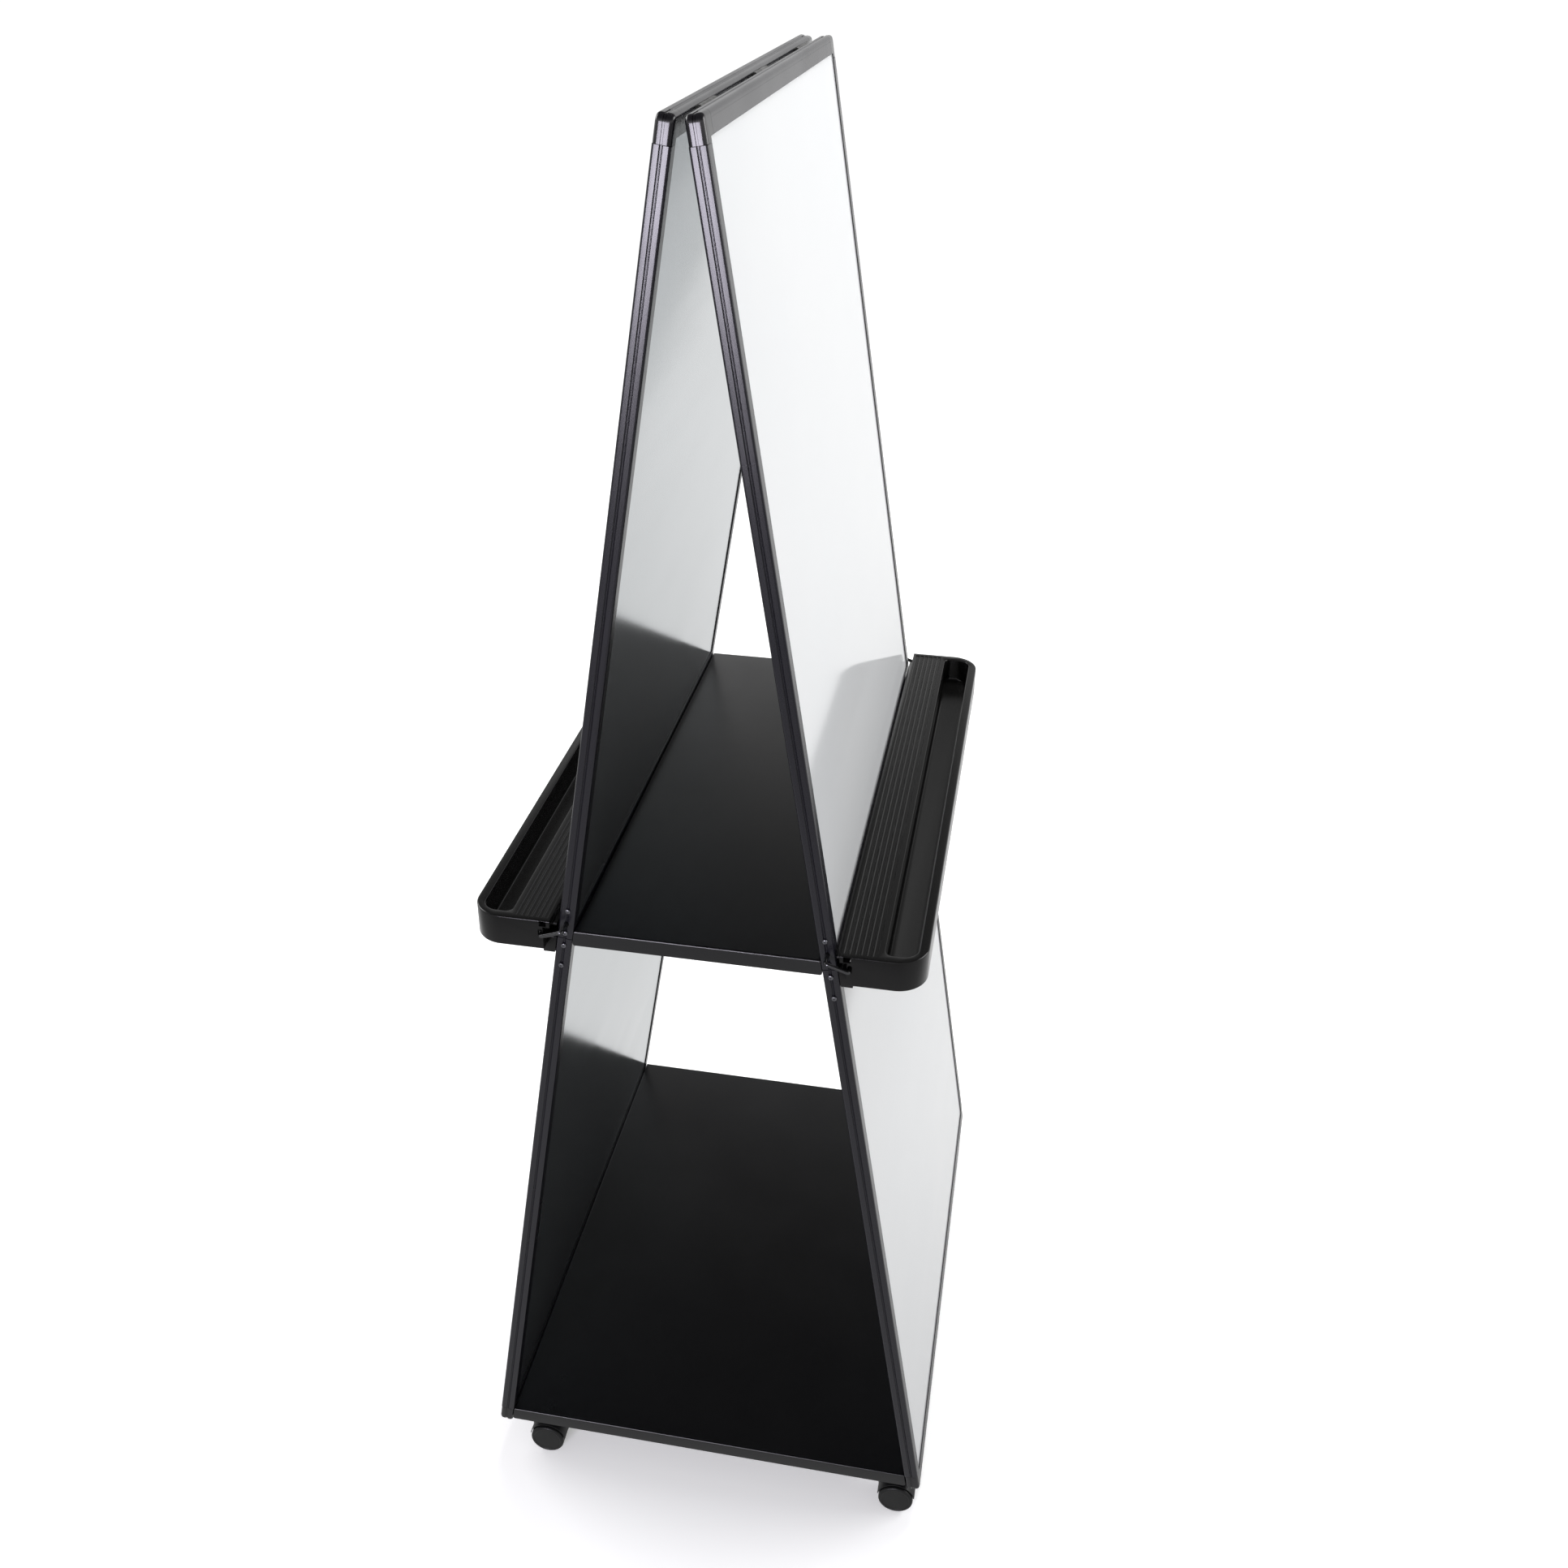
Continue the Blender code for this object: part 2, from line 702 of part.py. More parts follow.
def build_hinges(looks):
    front = hinge_leaf((0, 2, 4), True)
    back = hinge_leaf((1, 3), False)
    places = (("left", -HINGE_SPACING), ("middle", 0.0), ("right", HINGE_SPACING))
    for end, x in places:
        for side, mesh, along in (("front", front, x), ("back", back, -x)):
            stand = bpy.data.objects[side + "_lean"]
            spot = Matrix.Translation((along, 0, 0))
            place(f"top_hinge_{end}_{side}_leaf", mesh, looks["steel"], spot, stand)


# Marker trays


def tray_outline(inset, start=0.0):
    """The tray seen from above: square corners next to the board, round ones outside."""
    half = TRAY_LENGTH / 2 - inset
    depth = TRAY_DEPTH - inset
    radius = TRAY_CORNER - inset
    right = turned((half - radius, depth - radius), radius, 0, math.pi / 2, TRAY_CORNER_STEPS)
    left = [(-x, y) for x, y in reversed(right)]
    return [(-half, start), (half, start), *right, *left]


def channel_outline(grow):
    half = TRAY_LENGTH / 2 - CHANNEL_END + grow
    low = CHANNEL_START - grow
    high = CHANNEL_START + CHANNEL_WIDTH + grow
    radius = CHANNEL_CORNER + grow
    points = []
    for x, y, start in (
        (half - radius, low + radius, -0.5),
        (half - radius, high - radius, 0.0),
        (-half + radius, high - radius, 0.5),
        (-half + radius, low + radius, 1.0),
    ):
        begin = start * math.pi
        points += turned((x, y), radius, begin, begin + math.pi / 2, CHANNEL_STEPS)
    return points


def slot_outline():
    """The upright slot that takes the end of a wire stay, as (y, z)."""
    top = turned((SLOT_PLACE, SLOT_HIGH), SLOT_RADIUS, 0, math.pi, SCREW_SIDES // 2)
    foot = turned((SLOT_PLACE, SLOT_LOW), SLOT_RADIUS, math.pi, math.tau, SCREW_SIDES // 2)
    return top + foot


def tray():
    """A moulded tray with its inner lower edge at y = 0 and its underside at z = 0."""
    half = TRAY_LENGTH / 2
    bm = bmesh.new()
    bm.from_mesh(prism(tray_outline(0.0), 0, TRAY_HEIGHT))
    rim = [
        edge
        for edge in bm.edges
        if all(abs(vert.co.z - TRAY_HEIGHT) < WELD for vert in edge.verts)
    ]
    round_over(bm, rim, TRAY_EDGE_ROUND)
    body = finished(bm)
    roof = TRAY_HEIGHT - TRAY_WALL
    inner = FLANGE_DEPTH + TRAY_WALL
    hollow = carved(
        prism(tray_outline(TRAY_WALL, inner), -OVERRUN, roof),
        cuts=[prism(channel_outline(TRAY_WALL), -2 * OVERRUN, TRAY_HEIGHT)],
    )
    below_trough = prism(
        channel_outline(TRAY_WALL + OVERRUN), -2 * OVERRUN, CHANNEL_FLOOR - TRAY_WALL
    )
    step_back = block(
        (-half - OVERRUN, -OVERRUN, -OVERRUN),
        (half + OVERRUN, FLANGE_DEPTH, TRAY_HEIGHT - FLANGE_HEIGHT),
    )
    trough = prism(channel_outline(0.0), CHANNEL_FLOOR, TRAY_HEIGHT + OVERRUN)
    grooves = []
    for i in range(GROOVES):
        start = GROOVE_START + i * GROOVE_PITCH
        grooves.append(
            (
                (-half + GROOVE_END, start, TRAY_HEIGHT - GROOVE_DEPTH),
                (half - GROOVE_END, start + GROOVE_WIDTH, TRAY_HEIGHT + OVERRUN),
            )
        )
    cuts = [hollow, below_trough, step_back, trough, blocks(grooves)]
    notch_top = TRAY_HEIGHT - NOTCH_ROOF
    for sign in (-1, 1):
        ends = sorted((sign * (half - NOTCH_REACH), sign * (half + OVERRUN)))
        cuts.append(
            block(
                (ends[0], NOTCH_START, notch_top - NOTCH_HEIGHT),
                (ends[1], NOTCH_START + NOTCH_WIDTH, notch_top),
            )
        )
        cuts.append(prism(slot_outline(), *ends, "X"))
    body = carved(body, cuts=cuts)
    bosses = []
    for sign in (-1, 1):
        spot = (sign * BRACKET_MIDDLE, BOSS_PLACE)
        bosses.append(rod(spot, BOSS_RADIUS, 0, roof + OVERRUN / 2, "Z", SCREW_SIDES))
    return carved(body, adds=bosses)


def bracket():
    """The bracket between a leg and a tray, at the left end of the back board."""
    low = TRAY_BOTTOM - BRACKET_DROP
    high = TRAY_BOTTOM + BRACKET_RISE
    wall = TRAY_INNER + FLANGE_DEPTH - GAP
    ledge = TRAY_BOTTOM - GAP
    tip = TRAY_INNER + LEDGE_REACH
    fit = GAP / math.cos(LEAN)
    outline = [
        (outer_face(low) + fit, low),
        (wall, low),
        (wall, ledge - LEDGE_THICKNESS),
        (tip, ledge - LEDGE_THICKNESS),
        (tip, ledge),
        (wall, ledge),
        (wall, high),
        (outer_face(high) + fit, high),
    ]
    half = BRACKET_WIDTH / 2
    return prism(outline, -BRACKET_MIDDLE - half, -BRACKET_MIDDLE + half, "X")


def bent(points, radius, steps):
    """A route with each inner corner rounded."""
    route = [points[0]]
    for before, corner, after in zip(points, points[1:], points[2:]):
        into = (before - corner).normalized()
        out = (after - corner).normalized()
        start = corner + into * radius
        end = corner + out * radius
        for i in range(steps + 1):
            t = i / steps
            route.append(start * (1 - t) ** 2 + corner * 2 * t * (1 - t) + end * t**2)
    route.append(points[-1])
    return route


def wire_stay():
    """A bent wire from a hole in the leg's end to a slot in the tray's end, back left."""
    along = FRAME_LIFT + STAY_HEIGHT * math.cos(LEAN) - RAIL_DEPTH / 2 * math.sin(LEAN)
    leg_y = outer_face(along) - RAIL_SLAB / 2
    tray_y = TRAY_INNER + SLOT_PLACE
    tray_z = TRAY_BOTTOM + SLOT_LOW
    outside = -TRAY_LENGTH / 2 - WIRE_CLEARANCE - WIRE_RADIUS
    points = [
        Vector((-HALF_WIDTH + WIRE_GRIP, leg_y, along)),
        Vector((outside, leg_y, along)),
        Vector((outside, tray_y, tray_z)),
        Vector((-TRAY_LENGTH / 2 + WIRE_TRAY_GRIP, tray_y, tray_z)),
    ]
    curve = bpy.data.curves.new("wire", "CURVE")
    curve.dimensions = "3D"
    route = bent(points, WIRE_BEND, WIRE_BEND_STEPS)
    spline = curve.splines.new("POLY")
    spline.points.add(len(route) - 1)
    for point, place_ in zip(spline.points, route):
        point.co = (*place_, 1)
    curve.bevel_depth = WIRE_RADIUS
    curve.bevel_resolution = 2
    curve.use_fill_caps = True
    holder = bpy.data.objects.new("wire", curve)
    bpy.context.collection.objects.link(holder)
    graph = bpy.context.evaluated_depsgraph_get()
    mesh = bpy.data.meshes.new_from_object(holder.evaluated_get(graph))
    bpy.data.objects.remove(holder, do_unlink=True)
    bm = bmesh.new()
    bm.from_mesh(mesh)
    return finished(bm)


def build_trays(looks):
    made = tray()
    corners = {"left": (bracket(), wire_stay())}
    corners["right"] = tuple(mirrored(mesh) for mesh in corners["left"])
    other = {"left": "right", "right": "left"}
    for side, turn in SIDES:
        spin = Matrix.Rotation(math.pi, 4, "Z") @ turn
        seat = Matrix.Translation((0, TRAY_INNER, TRAY_BOTTOM))
        place(side + "_tray", made, looks["tray"], spin @ seat)
        for end, (arm, wire) in corners.items():
            name = end if side == "back" else other[end]
            place(f"{side}_tray_bracket_{name}", arm, looks["tray"], spin)
            place(f"{side}_tray_stay_{name}", wire, looks["steel"], spin)


# Casters, each about its own stem on the floor


def hood():
    """The caster's fork: a curved hood over both wheels, a web for the axle, and the stem."""
    centre = (-TRAIL, WHEEL_RADIUS)
    skirt = WHEEL_RADIUS - HOOD_SKIRT
    arch = turned(centre, HOOD_RADIUS, 0, math.pi, HOOD_STEPS)
    outline = [(-TRAIL + HOOD_RADIUS, skirt), *arch, (-TRAIL - HOOD_RADIUS, skirt)]
    dome = prism(outline, -HOOD_HALF_WIDTH, HOOD_HALF_WIDTH, "X")
    boss = rod((0, 0), STEM_BOSS_RADIUS, STEM_BOSS_LOW, CASTER_HEIGHT, "Z")
    wheel_space = [
        rod(centre, HOOD_RADIUS - HOOD_WALL, *span, "X", WHEEL_SIDES)
        for span in (
            (WEB_HALF_WIDTH, HOOD_HALF_WIDTH + OVERRUN),
            (-HOOD_HALF_WIDTH - OVERRUN, -WEB_HALF_WIDTH),
        )
    ]
    shell = carved(dome, adds=[boss], cuts=wheel_space)
    hub = rod(centre, HUB_RADIUS, -WEB_HALF_WIDTH, WEB_HALF_WIDTH, "X")
    floor = CASTER_HEIGHT + GAP + CROSSBAR_SHEET + GAP
    stem = lathed(
        [
            (CASTER_HEIGHT - OVERRUN, STEM_RADIUS),
            (floor, STEM_RADIUS),
            (floor, COLLAR_RADIUS),
            (floor + COLLAR_HEIGHT, COLLAR_RADIUS),
            (floor + COLLAR_HEIGHT, STEM_RADIUS),
            (CASTER_HEIGHT + STEM_RISE, STEM_RADIUS),
        ],
        ROUND_SIDES,
        "Z",
    )
    bore = rod(centre, AXLE_RADIUS + GAP, -HOOD_HALF_WIDTH, HOOD_HALF_WIDTH, "X")
    return carved(carved(shell, adds=[hub, stem]), cuts=[bore])


def wheels():
    """Both wheels and the axle that joins them, about the axle's middle."""
    rounding = turned(
        (WHEEL_OUTER - WHEEL_ROUND, WHEEL_RADIUS - WHEEL_ROUND),
        WHEEL_ROUND,
        0,
        math.pi / 2,
        WHEEL_ROUND_STEPS,
    )
    half = [
        (WHEEL_OUTER - HUB_RECESS_DEPTH, AXLE_RADIUS),
        (WHEEL_OUTER - HUB_RECESS_DEPTH, HUB_RECESS_RADIUS),
        (WHEEL_OUTER, HUB_RECESS_RADIUS + HUB_RECESS_DEPTH),
        *rounding,
        (WHEEL_INNER, WHEEL_RADIUS),
        (WHEEL_INNER, AXLE_RADIUS),
    ]
    other = [(-along, radius) for along, radius in reversed(half)]
    return lathed(half + other, WHEEL_SIDES, flat_down=True)


def build_casters(looks):
    fork = hood()
    pair = wheels()
    for side, y in (("front", -CASTER_Y), ("back", CASTER_Y)):
        for end, x in (("left", -CASTER_X), ("right", CASTER_X)):
            name = f"{side}_{end}_caster"
            swivel = empty(name + "_swivel", Matrix.Translation((x, y, 0)))
            place(name + "_hood", fork, looks["caster"], parent=swivel)
            axle = Matrix.Translation((0, -TRAIL, WHEEL_RADIUS))
            place(name + "_wheels", pair, looks["wheel"], axle, swivel)


def build():
    clear_scene()
    looks = {
        "frame": material("powder_coated_rail", (0.040, 0.038, 0.042), 0.38, 0.2),
        "cap": material("moulded_corner", (0.022, 0.021, 0.023), 0.45),
        "board": material("white_writing_face", (0.84, 0.85, 0.87), 0.18),
        "shelf": material("black_sheet_steel", (0.012, 0.012, 0.014), 0.42, 0.1),
        "tray": material("black_moulded_plastic", (0.028, 0.028, 0.028), 0.40),
        "steel": material("dark_plated_steel", (0.12, 0.12, 0.13), 0.30, 0.9),
        "caster": material("caster_nylon", (0.020, 0.020, 0.021), 0.45),
        "wheel": material("wheel_nylon", (0.032, 0.031, 0.031), 0.50),
    }
    build_frames(looks)
    build_shelves(looks)
    build_hinges(looks)
    build_trays(looks)
    build_casters(looks)


build()
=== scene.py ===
# %% [markdown]
# # A mobile whiteboard
# Two tall writing boards lean together as an A-frame. Steel shelves tie them, a marker tray
# hangs outside each board, and the base rolls on four twin-wheel casters.
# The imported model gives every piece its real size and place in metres. Each piece is modelled
# here again with the rounding and small detail of the real one, and it stands where the model
# has it, so nothing is fitted by eye.

import math

import bmesh
import bpy
from mathutils import Matrix, Vector


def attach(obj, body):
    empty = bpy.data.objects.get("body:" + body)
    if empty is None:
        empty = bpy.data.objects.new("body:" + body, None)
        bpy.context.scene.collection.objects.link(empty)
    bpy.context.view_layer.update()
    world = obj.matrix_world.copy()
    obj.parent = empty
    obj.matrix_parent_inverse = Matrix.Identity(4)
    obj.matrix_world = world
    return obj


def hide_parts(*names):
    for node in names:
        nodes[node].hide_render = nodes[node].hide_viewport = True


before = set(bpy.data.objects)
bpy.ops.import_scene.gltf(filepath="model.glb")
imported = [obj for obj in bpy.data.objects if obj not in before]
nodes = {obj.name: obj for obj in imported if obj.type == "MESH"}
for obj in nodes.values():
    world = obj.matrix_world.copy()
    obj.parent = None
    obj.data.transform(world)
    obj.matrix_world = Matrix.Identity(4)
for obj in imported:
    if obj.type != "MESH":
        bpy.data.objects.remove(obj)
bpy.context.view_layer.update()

# %% [markdown]
# ## The sizes that the pieces share
# A frame rail is one aluminium extrusion. Its section is described by how far in from the
# frame's edge a point is, and how deep behind the board's outer face. Everything else hangs on
# the lean of the boards, so the lean and the two lengths of a leg come first. A cutter runs a
# little past what it cuts, and solids that are joined run a little into one another.

# %% Sizes of the frame
LEAN = math.radians(8.96)
LOWER_LENGTH = 0.880
UPPER_LENGTH = 0.922
LEG_LENGTH = LOWER_LENGTH + UPPER_LENGTH
HALF_WIDTH = 0.380
RAIL_DEPTH = 0.0185
RAIL_SLAB = RAIL_DEPTH / math.cos(LEAN)
MIDDLE = RAIL_DEPTH / 2
SIDE_BEZEL = 0.017
CROSS_BEZEL = 0.022
FRAME_LIFT = 0.056
TOP_GAP_HALF = 0.003
FOOT_SPREAD = TOP_GAP_HALF + RAIL_SLAB + LEG_LENGTH * math.sin(LEAN)
JOINT_HEIGHT = FRAME_LIFT + LOWER_LENGTH * math.cos(LEAN)
GAP = 0.0003
OVERRUN = 0.002
OVERLAP = 0.001
CAP_ARM = 0.027
print("feet apart", round(2 * FOOT_SPREAD, 4), "joint height", round(JOINT_HEIGHT, 4))


def outer_face(height):
    """How far a board's outer face is from the middle plane at a height above the floor."""
    return FOOT_SPREAD - (height - FRAME_LIFT) * math.tan(LEAN)


def inner_face(height):
    return outer_face(height) - RAIL_SLAB


# %% [markdown]
# ## A few habits at the bench
# An operator acts on whatever is selected, and the loaded model is selected all over. So every
# helper starts by choosing exactly one piece. Faces and edges are then found by where they are
# or which way they face, which still works when a size changes.

# %% Choosing pieces, faces and edges
KINDS = {"faces": "FACE", "edges": "EDGE", "verts": "VERT"}
WELD = 1e-6
NEAR_ENOUGH = 2e-5
SHARP = 35


def alone(piece):
    bpy.ops.object.select_all(action="DESELECT")
    piece.select_set(True)
    bpy.context.view_layer.objects.active = piece


def opened(piece):
    """Goes into edit mode on this piece, with all of it selected."""
    alone(piece)
    bpy.ops.object.mode_set(mode="EDIT")
    bpy.ops.mesh.select_mode(type="FACE")
    bpy.ops.mesh.select_all(action="SELECT")


def closed(piece):
    """Welds doubles, turns the faces outwards and leaves edit mode."""
    bpy.ops.mesh.select_mode(type="VERT")
    bpy.ops.mesh.select_all(action="SELECT")
    bpy.ops.mesh.remove_doubles(threshold=WELD)
    bpy.ops.mesh.normals_make_consistent(inside=False)
    bpy.ops.object.mode_set(mode="OBJECT")
    return piece


def pick(piece, kind, test):
    """Selects the faces, edges or verts of the open mesh that pass the test."""
    bpy.ops.mesh.select_mode(type=KINDS[kind])
    bpy.ops.mesh.select_all(action="DESELECT")
    mesh = bmesh.from_edit_mesh(piece.data)
    chosen = [item for item in getattr(mesh, kind) if test(item)]
    for item in chosen:
        item.select_set(True)
    mesh.select_flush_mode()
    bmesh.update_edit_mesh(piece.data)
    return len(chosen)


def same(first, second):
    return abs(first - second) < NEAR_ENOUGH


def spot(item):
    """The middle of a face or an edge."""
    if isinstance(item, bmesh.types.BMFace):
        return item.calc_center_median()
    return sum((vert.co for vert in item.verts), Vector()) / 2


def runs(edge, axis):
    """Whether an edge lies along an axis, given as 0, 1 or 2."""
    line = edge.verts[1].co - edge.verts[0].co
    return abs(line[axis]) > 0.999 * line.length


# %% Primitives, cutting, rounding and copying
def settled(name):
    piece = bpy.context.object
    piece.name = name
    bpy.ops.object.transform_apply(location=True, rotation=True, scale=True)
    return piece


def block(name, low, high):
    """A cube added at its size and place."""
    low, high = Vector(low), Vector(high)
    bpy.ops.object.select_all(action="DESELECT")
    bpy.ops.mesh.primitive_cube_add(size=1, location=(low + high) / 2, scale=high - low)
    return settled(name)


def round_bar(name, start, end, radius, sides=32):
    """A cylinder added between two points."""
    start, end = Vector(start), Vector(end)
    turn = (end - start).to_track_quat("Z", "Y").to_euler()
    bpy.ops.object.select_all(action="DESELECT")
    bpy.ops.mesh.primitive_cylinder_add(
        vertices=sides, radius=radius, depth=(end - start).length,
        location=(start + end) / 2, rotation=turn,
    )
    return settled(name)


def carve(piece, *cutters):
    """Cuts the cutters out of the piece, one after the other, and removes them."""
    for cutter in cutters:
        alone(piece)
        cut = piece.modifiers.new("cut", "BOOLEAN")
        cut.operation = "DIFFERENCE"
        cut.solver = "EXACT"
        cut.object = cutter
        bpy.ops.object.modifier_apply(modifier=cut.name)
        bpy.data.objects.remove(cutter, do_unlink=True)
    return piece


def score(point, normal, trim=False):
    """Cuts the whole open mesh along a plane. A trim also removes what lies beyond it."""
    bpy.ops.mesh.select_all(action="SELECT")
    bpy.ops.mesh.bisect(plane_co=point, plane_no=normal, use_fill=trim, clear_outer=trim)


def pull(way):
    """Extrudes what is selected in the open mesh."""
    bpy.ops.mesh.extrude_region_move(TRANSFORM_OT_translate={"value": way})


def bevel(offset, segments, kind="EDGES"):
    """Rounds the selected edges or vertices of the open mesh."""
    bpy.ops.mesh.bevel(
        offset=offset, segments=segments, affect=kind, clamp_overlap=False
    )


def soften(piece, width, segments=2):
    """Rounds every sharp edge of a finished piece a little, with a Bevel modifier."""
    alone(piece)
    edge = piece.modifiers.new("soft_edges", "BEVEL")
    edge.width = width
    edge.segments = segments
    edge.limit_method = "ANGLE"
    edge.angle_limit = math.radians(SHARP)
    edge.miter_outer = "MITER_ARC"
    bpy.ops.object.modifier_apply(modifier=edge.name)
    return piece


def shaded(piece, angle=32):
    alone(piece)
    bpy.ops.object.shade_smooth_by_angle(angle=math.radians(angle))
    return piece


def joined(name, pieces):
    """Several solids as one piece, each still a body of its own."""
    bpy.ops.object.select_all(action="DESELECT")
    for piece in pieces:
        piece.select_set(True)
    bpy.context.view_layer.objects.active = pieces[0]
    bpy.ops.object.join()
    pieces[0].name = name
    return pieces[0]


def copy_to(piece, name, matrix):
    """A copy with its own mesh, moved to its place. A mirrored copy has its faces turned back."""
    alone(piece)
    bpy.ops.object.duplicate()
    copy = bpy.context.object
    copy.name = name
    copy.matrix_world = matrix
    bpy.ops.object.transform_apply(location=True, rotation=True, scale=True)
    if matrix.determinant() < 0:
        opened(copy)
        bpy.ops.mesh.normals_make_consistent(inside=False)
        bpy.ops.object.mode_set(mode="OBJECT")
    return copy


def triangles(piece):
    return sum(len(face.vertices) - 2 for face in piece.data.polygons)


def leaks(piece):
    """How many edges don't have exactly two faces. A closed solid has none."""
    mesh = bmesh.new()
    mesh.from_mesh(piece.data)
    open_edges = sum(len(edge.link_faces) != 2 for edge in mesh.edges)
    mesh.free()
    return open_edges


def told(piece):
    print(piece.name, "triangles", triangles(piece), "open edges", leaks(piece))
    return piece


# %% [markdown]
# ## Finishes
# Every material is a small tree of nodes. One helper adds a node and fills its inputs, in order
# or by name, with a plain value or with what another node puts out.

# %% A node with its inputs filled
def node(tree, kind, *entries, mode=None, **named):
    made = tree.nodes.new(kind)
    if mode:
        setattr(made, "data_type" if kind == "ShaderNodeMix" else "operation", mode)
    by_name = {key.replace("_", " "): value for key, value in named.items()}
    for key, value in [*enumerate(entries), *by_name.items()]:
        if isinstance(value, bpy.types.Node):
            value = next(out for out in value.outputs if out.enabled)
        if isinstance(value, bpy.types.NodeSocket):
            tree.links.new(value, made.inputs[key])
        elif value is not None:
            made.inputs[key].default_value = value
    return made


# %% [markdown]
# Powder coat, moulded plastic and nylon all break up into fine flecks and slow, faint patches.
# That effect is one node group with named inputs. It puts out a colour, a roughness and a
# height, and each material feeds them to its own shader, with its own sizes and depths.

# %% The group that every dark finish uses
GROUP_INPUTS = {
    "Base": (0.5, 0.5, 0.5, 1),
    "Fleck": (0.6, 0.6, 0.6, 1),
    "Fleck Scale": 900.0,
    "Patch Scale": 9.0,
    "Patch Tone": 0.10,
    "Smooth": 0.3,
    "Rough": 0.5,
}
GROUP_OUTPUTS = {"Color": "NodeSocketColor", "Roughness": "NodeSocketFloat", "Height": "NodeSocketFloat"}


def flecked_surface():
    group = bpy.data.node_groups.new("flecked_surface", "ShaderNodeTree")
    for name, value in GROUP_INPUTS.items():
        kind = "NodeSocketFloat" if isinstance(value, float) else "NodeSocketColor"
        entry = group.interface.new_socket(name=name, in_out="INPUT", socket_type=kind)
        entry.default_value = value
    for name, kind in GROUP_OUTPUTS.items():
        group.interface.new_socket(name=name, in_out="OUTPUT", socket_type=kind)
    given = node(group, "NodeGroupInput").outputs
    here = node(group, "ShaderNodeTexCoord").outputs["Object"]
    fine = node(
        group, "ShaderNodeTexNoise",
        Vector=here, Scale=given["Fleck Scale"], Detail=3.0, Roughness=0.62,
    )
    slow = node(
        group, "ShaderNodeTexNoise",
        Vector=here, Scale=given["Patch Scale"], Detail=4.0, Distortion=0.4,
    )
    flecks = node(group, "ShaderNodeMapRange", Value=fine, From_Min=0.52, From_Max=0.70)
    patches = node(group, "ShaderNodeMapRange", Value=slow, From_Min=0.35, From_Max=0.65)
    tone = node(group, "ShaderNodeMath", patches, given["Patch Tone"], mode="MULTIPLY")
    black = (0, 0, 0, 1)
    darker = node(group, "ShaderNodeMix", mode="RGBA", Factor=tone, A=given["Base"], B=black)
    speckled = node(
        group, "ShaderNodeMix", mode="RGBA", Factor=flecks, A=darker, B=given["Fleck"]
    )
    gloss = node(
        group, "ShaderNodeMapRange", Value=slow,
        From_Min=0.3, From_Max=0.7, To_Min=given["Smooth"], To_Max=given["Rough"],
    )
    node(group, "NodeGroupOutput", Color=speckled, Roughness=gloss, Height=fine)
    return group


SURFACE = flecked_surface()
print("the group has", len(SURFACE.nodes), "nodes")


# %% A finish made with that group
def material(name):
    made = bpy.data.materials.new(name)
    made.use_nodes = True
    return made, made.node_tree, made.node_tree.nodes["Principled BSDF"]


def finish(name, base, fleck, *sizes, **sockets):
    """The sizes are the group's other inputs in order, and then the depth of the flecks."""
    made, tree, shader = material(name)
    surface = tree.nodes.new("ShaderNodeGroup")
    surface.node_tree = SURFACE
    values = ((*base, 1), (*fleck, 1), *sizes[:-1])
    for entry, value in zip(GROUP_INPUTS, values):
        surface.inputs[entry].default_value = value
    height = surface.outputs["Height"]
    bump = node(tree, "ShaderNodeBump", Strength=0.35, Distance=sizes[-1], Height=height)
    tree.links.new(surface.outputs["Color"], shader.inputs["Base Color"])
    tree.links.new(surface.outputs["Roughness"], shader.inputs["Roughness"])
    tree.links.new(bump.outputs["Normal"], shader.inputs["Normal"])
    for key, value in sockets.items():
        shader.inputs[key.replace("_", " ")].default_value = value
    return made


FINISH = {
    "rail": finish(
        "charcoal_powder_coat", (0.0125, 0.0122, 0.0165), (0.020, 0.0195, 0.026),
        900, 7, 0.12, 0.22, 0.28, 0.000002, Specular_IOR_Level=0.58,
    ),
    "cap": finish(
        "moulded_corner_plastic", (0.0115, 0.0110, 0.0130), (0.017, 0.0165, 0.019),
        1100, 12, 0.10, 0.18, 0.24, 0.000002, Specular_IOR_Level=0.58,
    ),
    "shelf": finish(
        "black_shelf_coat", (0.0045, 0.0045, 0.0053), (0.0080, 0.0080, 0.0093),
        1000, 6, 0.18, 0.27, 0.36, 0.000004, Specular_IOR_Level=0.65,
    ),
    "tray": finish(
        "black_tray_plastic", (0.0062, 0.0061, 0.0060), (0.0095, 0.0094, 0.0092),
        1200, 12, 0.12, 0.15, 0.21, 0.000003, Specular_IOR_Level=0.38,
    ),
    "wire": finish(
        "black_plated_wire", (0.110, 0.110, 0.115), (0.160, 0.160, 0.165),
        1500, 60, 0.10, 0.12, 0.20, 0.000003, Metallic=0.95,
    ),
    "screw": finish(
        "dark_plated_screw", (0.24, 0.24, 0.26), (0.32, 0.32, 0.34),
        2600, 90, 0.15, 0.18, 0.28, 0.000003, Metallic=0.95,
    ),
    "hinge": finish(
        "brushed_hinge_steel", (0.10, 0.10, 0.095), (0.16, 0.16, 0.15),
        1700, 40, 0.15, 0.28, 0.42, 0.000006, Metallic=0.95,
    ),
    "hood": finish(
        "black_caster_nylon", (0.0060, 0.0060, 0.0063), (0.010, 0.010, 0.0105),
        1500, 40, 0.12, 0.36, 0.48, 0.000008,
    ),
    "wheel": finish(
        "grey_wheel_nylon", (0.0085, 0.0088, 0.0085), (0.013, 0.0133, 0.013),
        1500, 50, 0.12, 0.34, 0.46, 0.000008, Specular_IOR_Level=0.35,
    ),
}
print("finishes", sorted(FINISH))

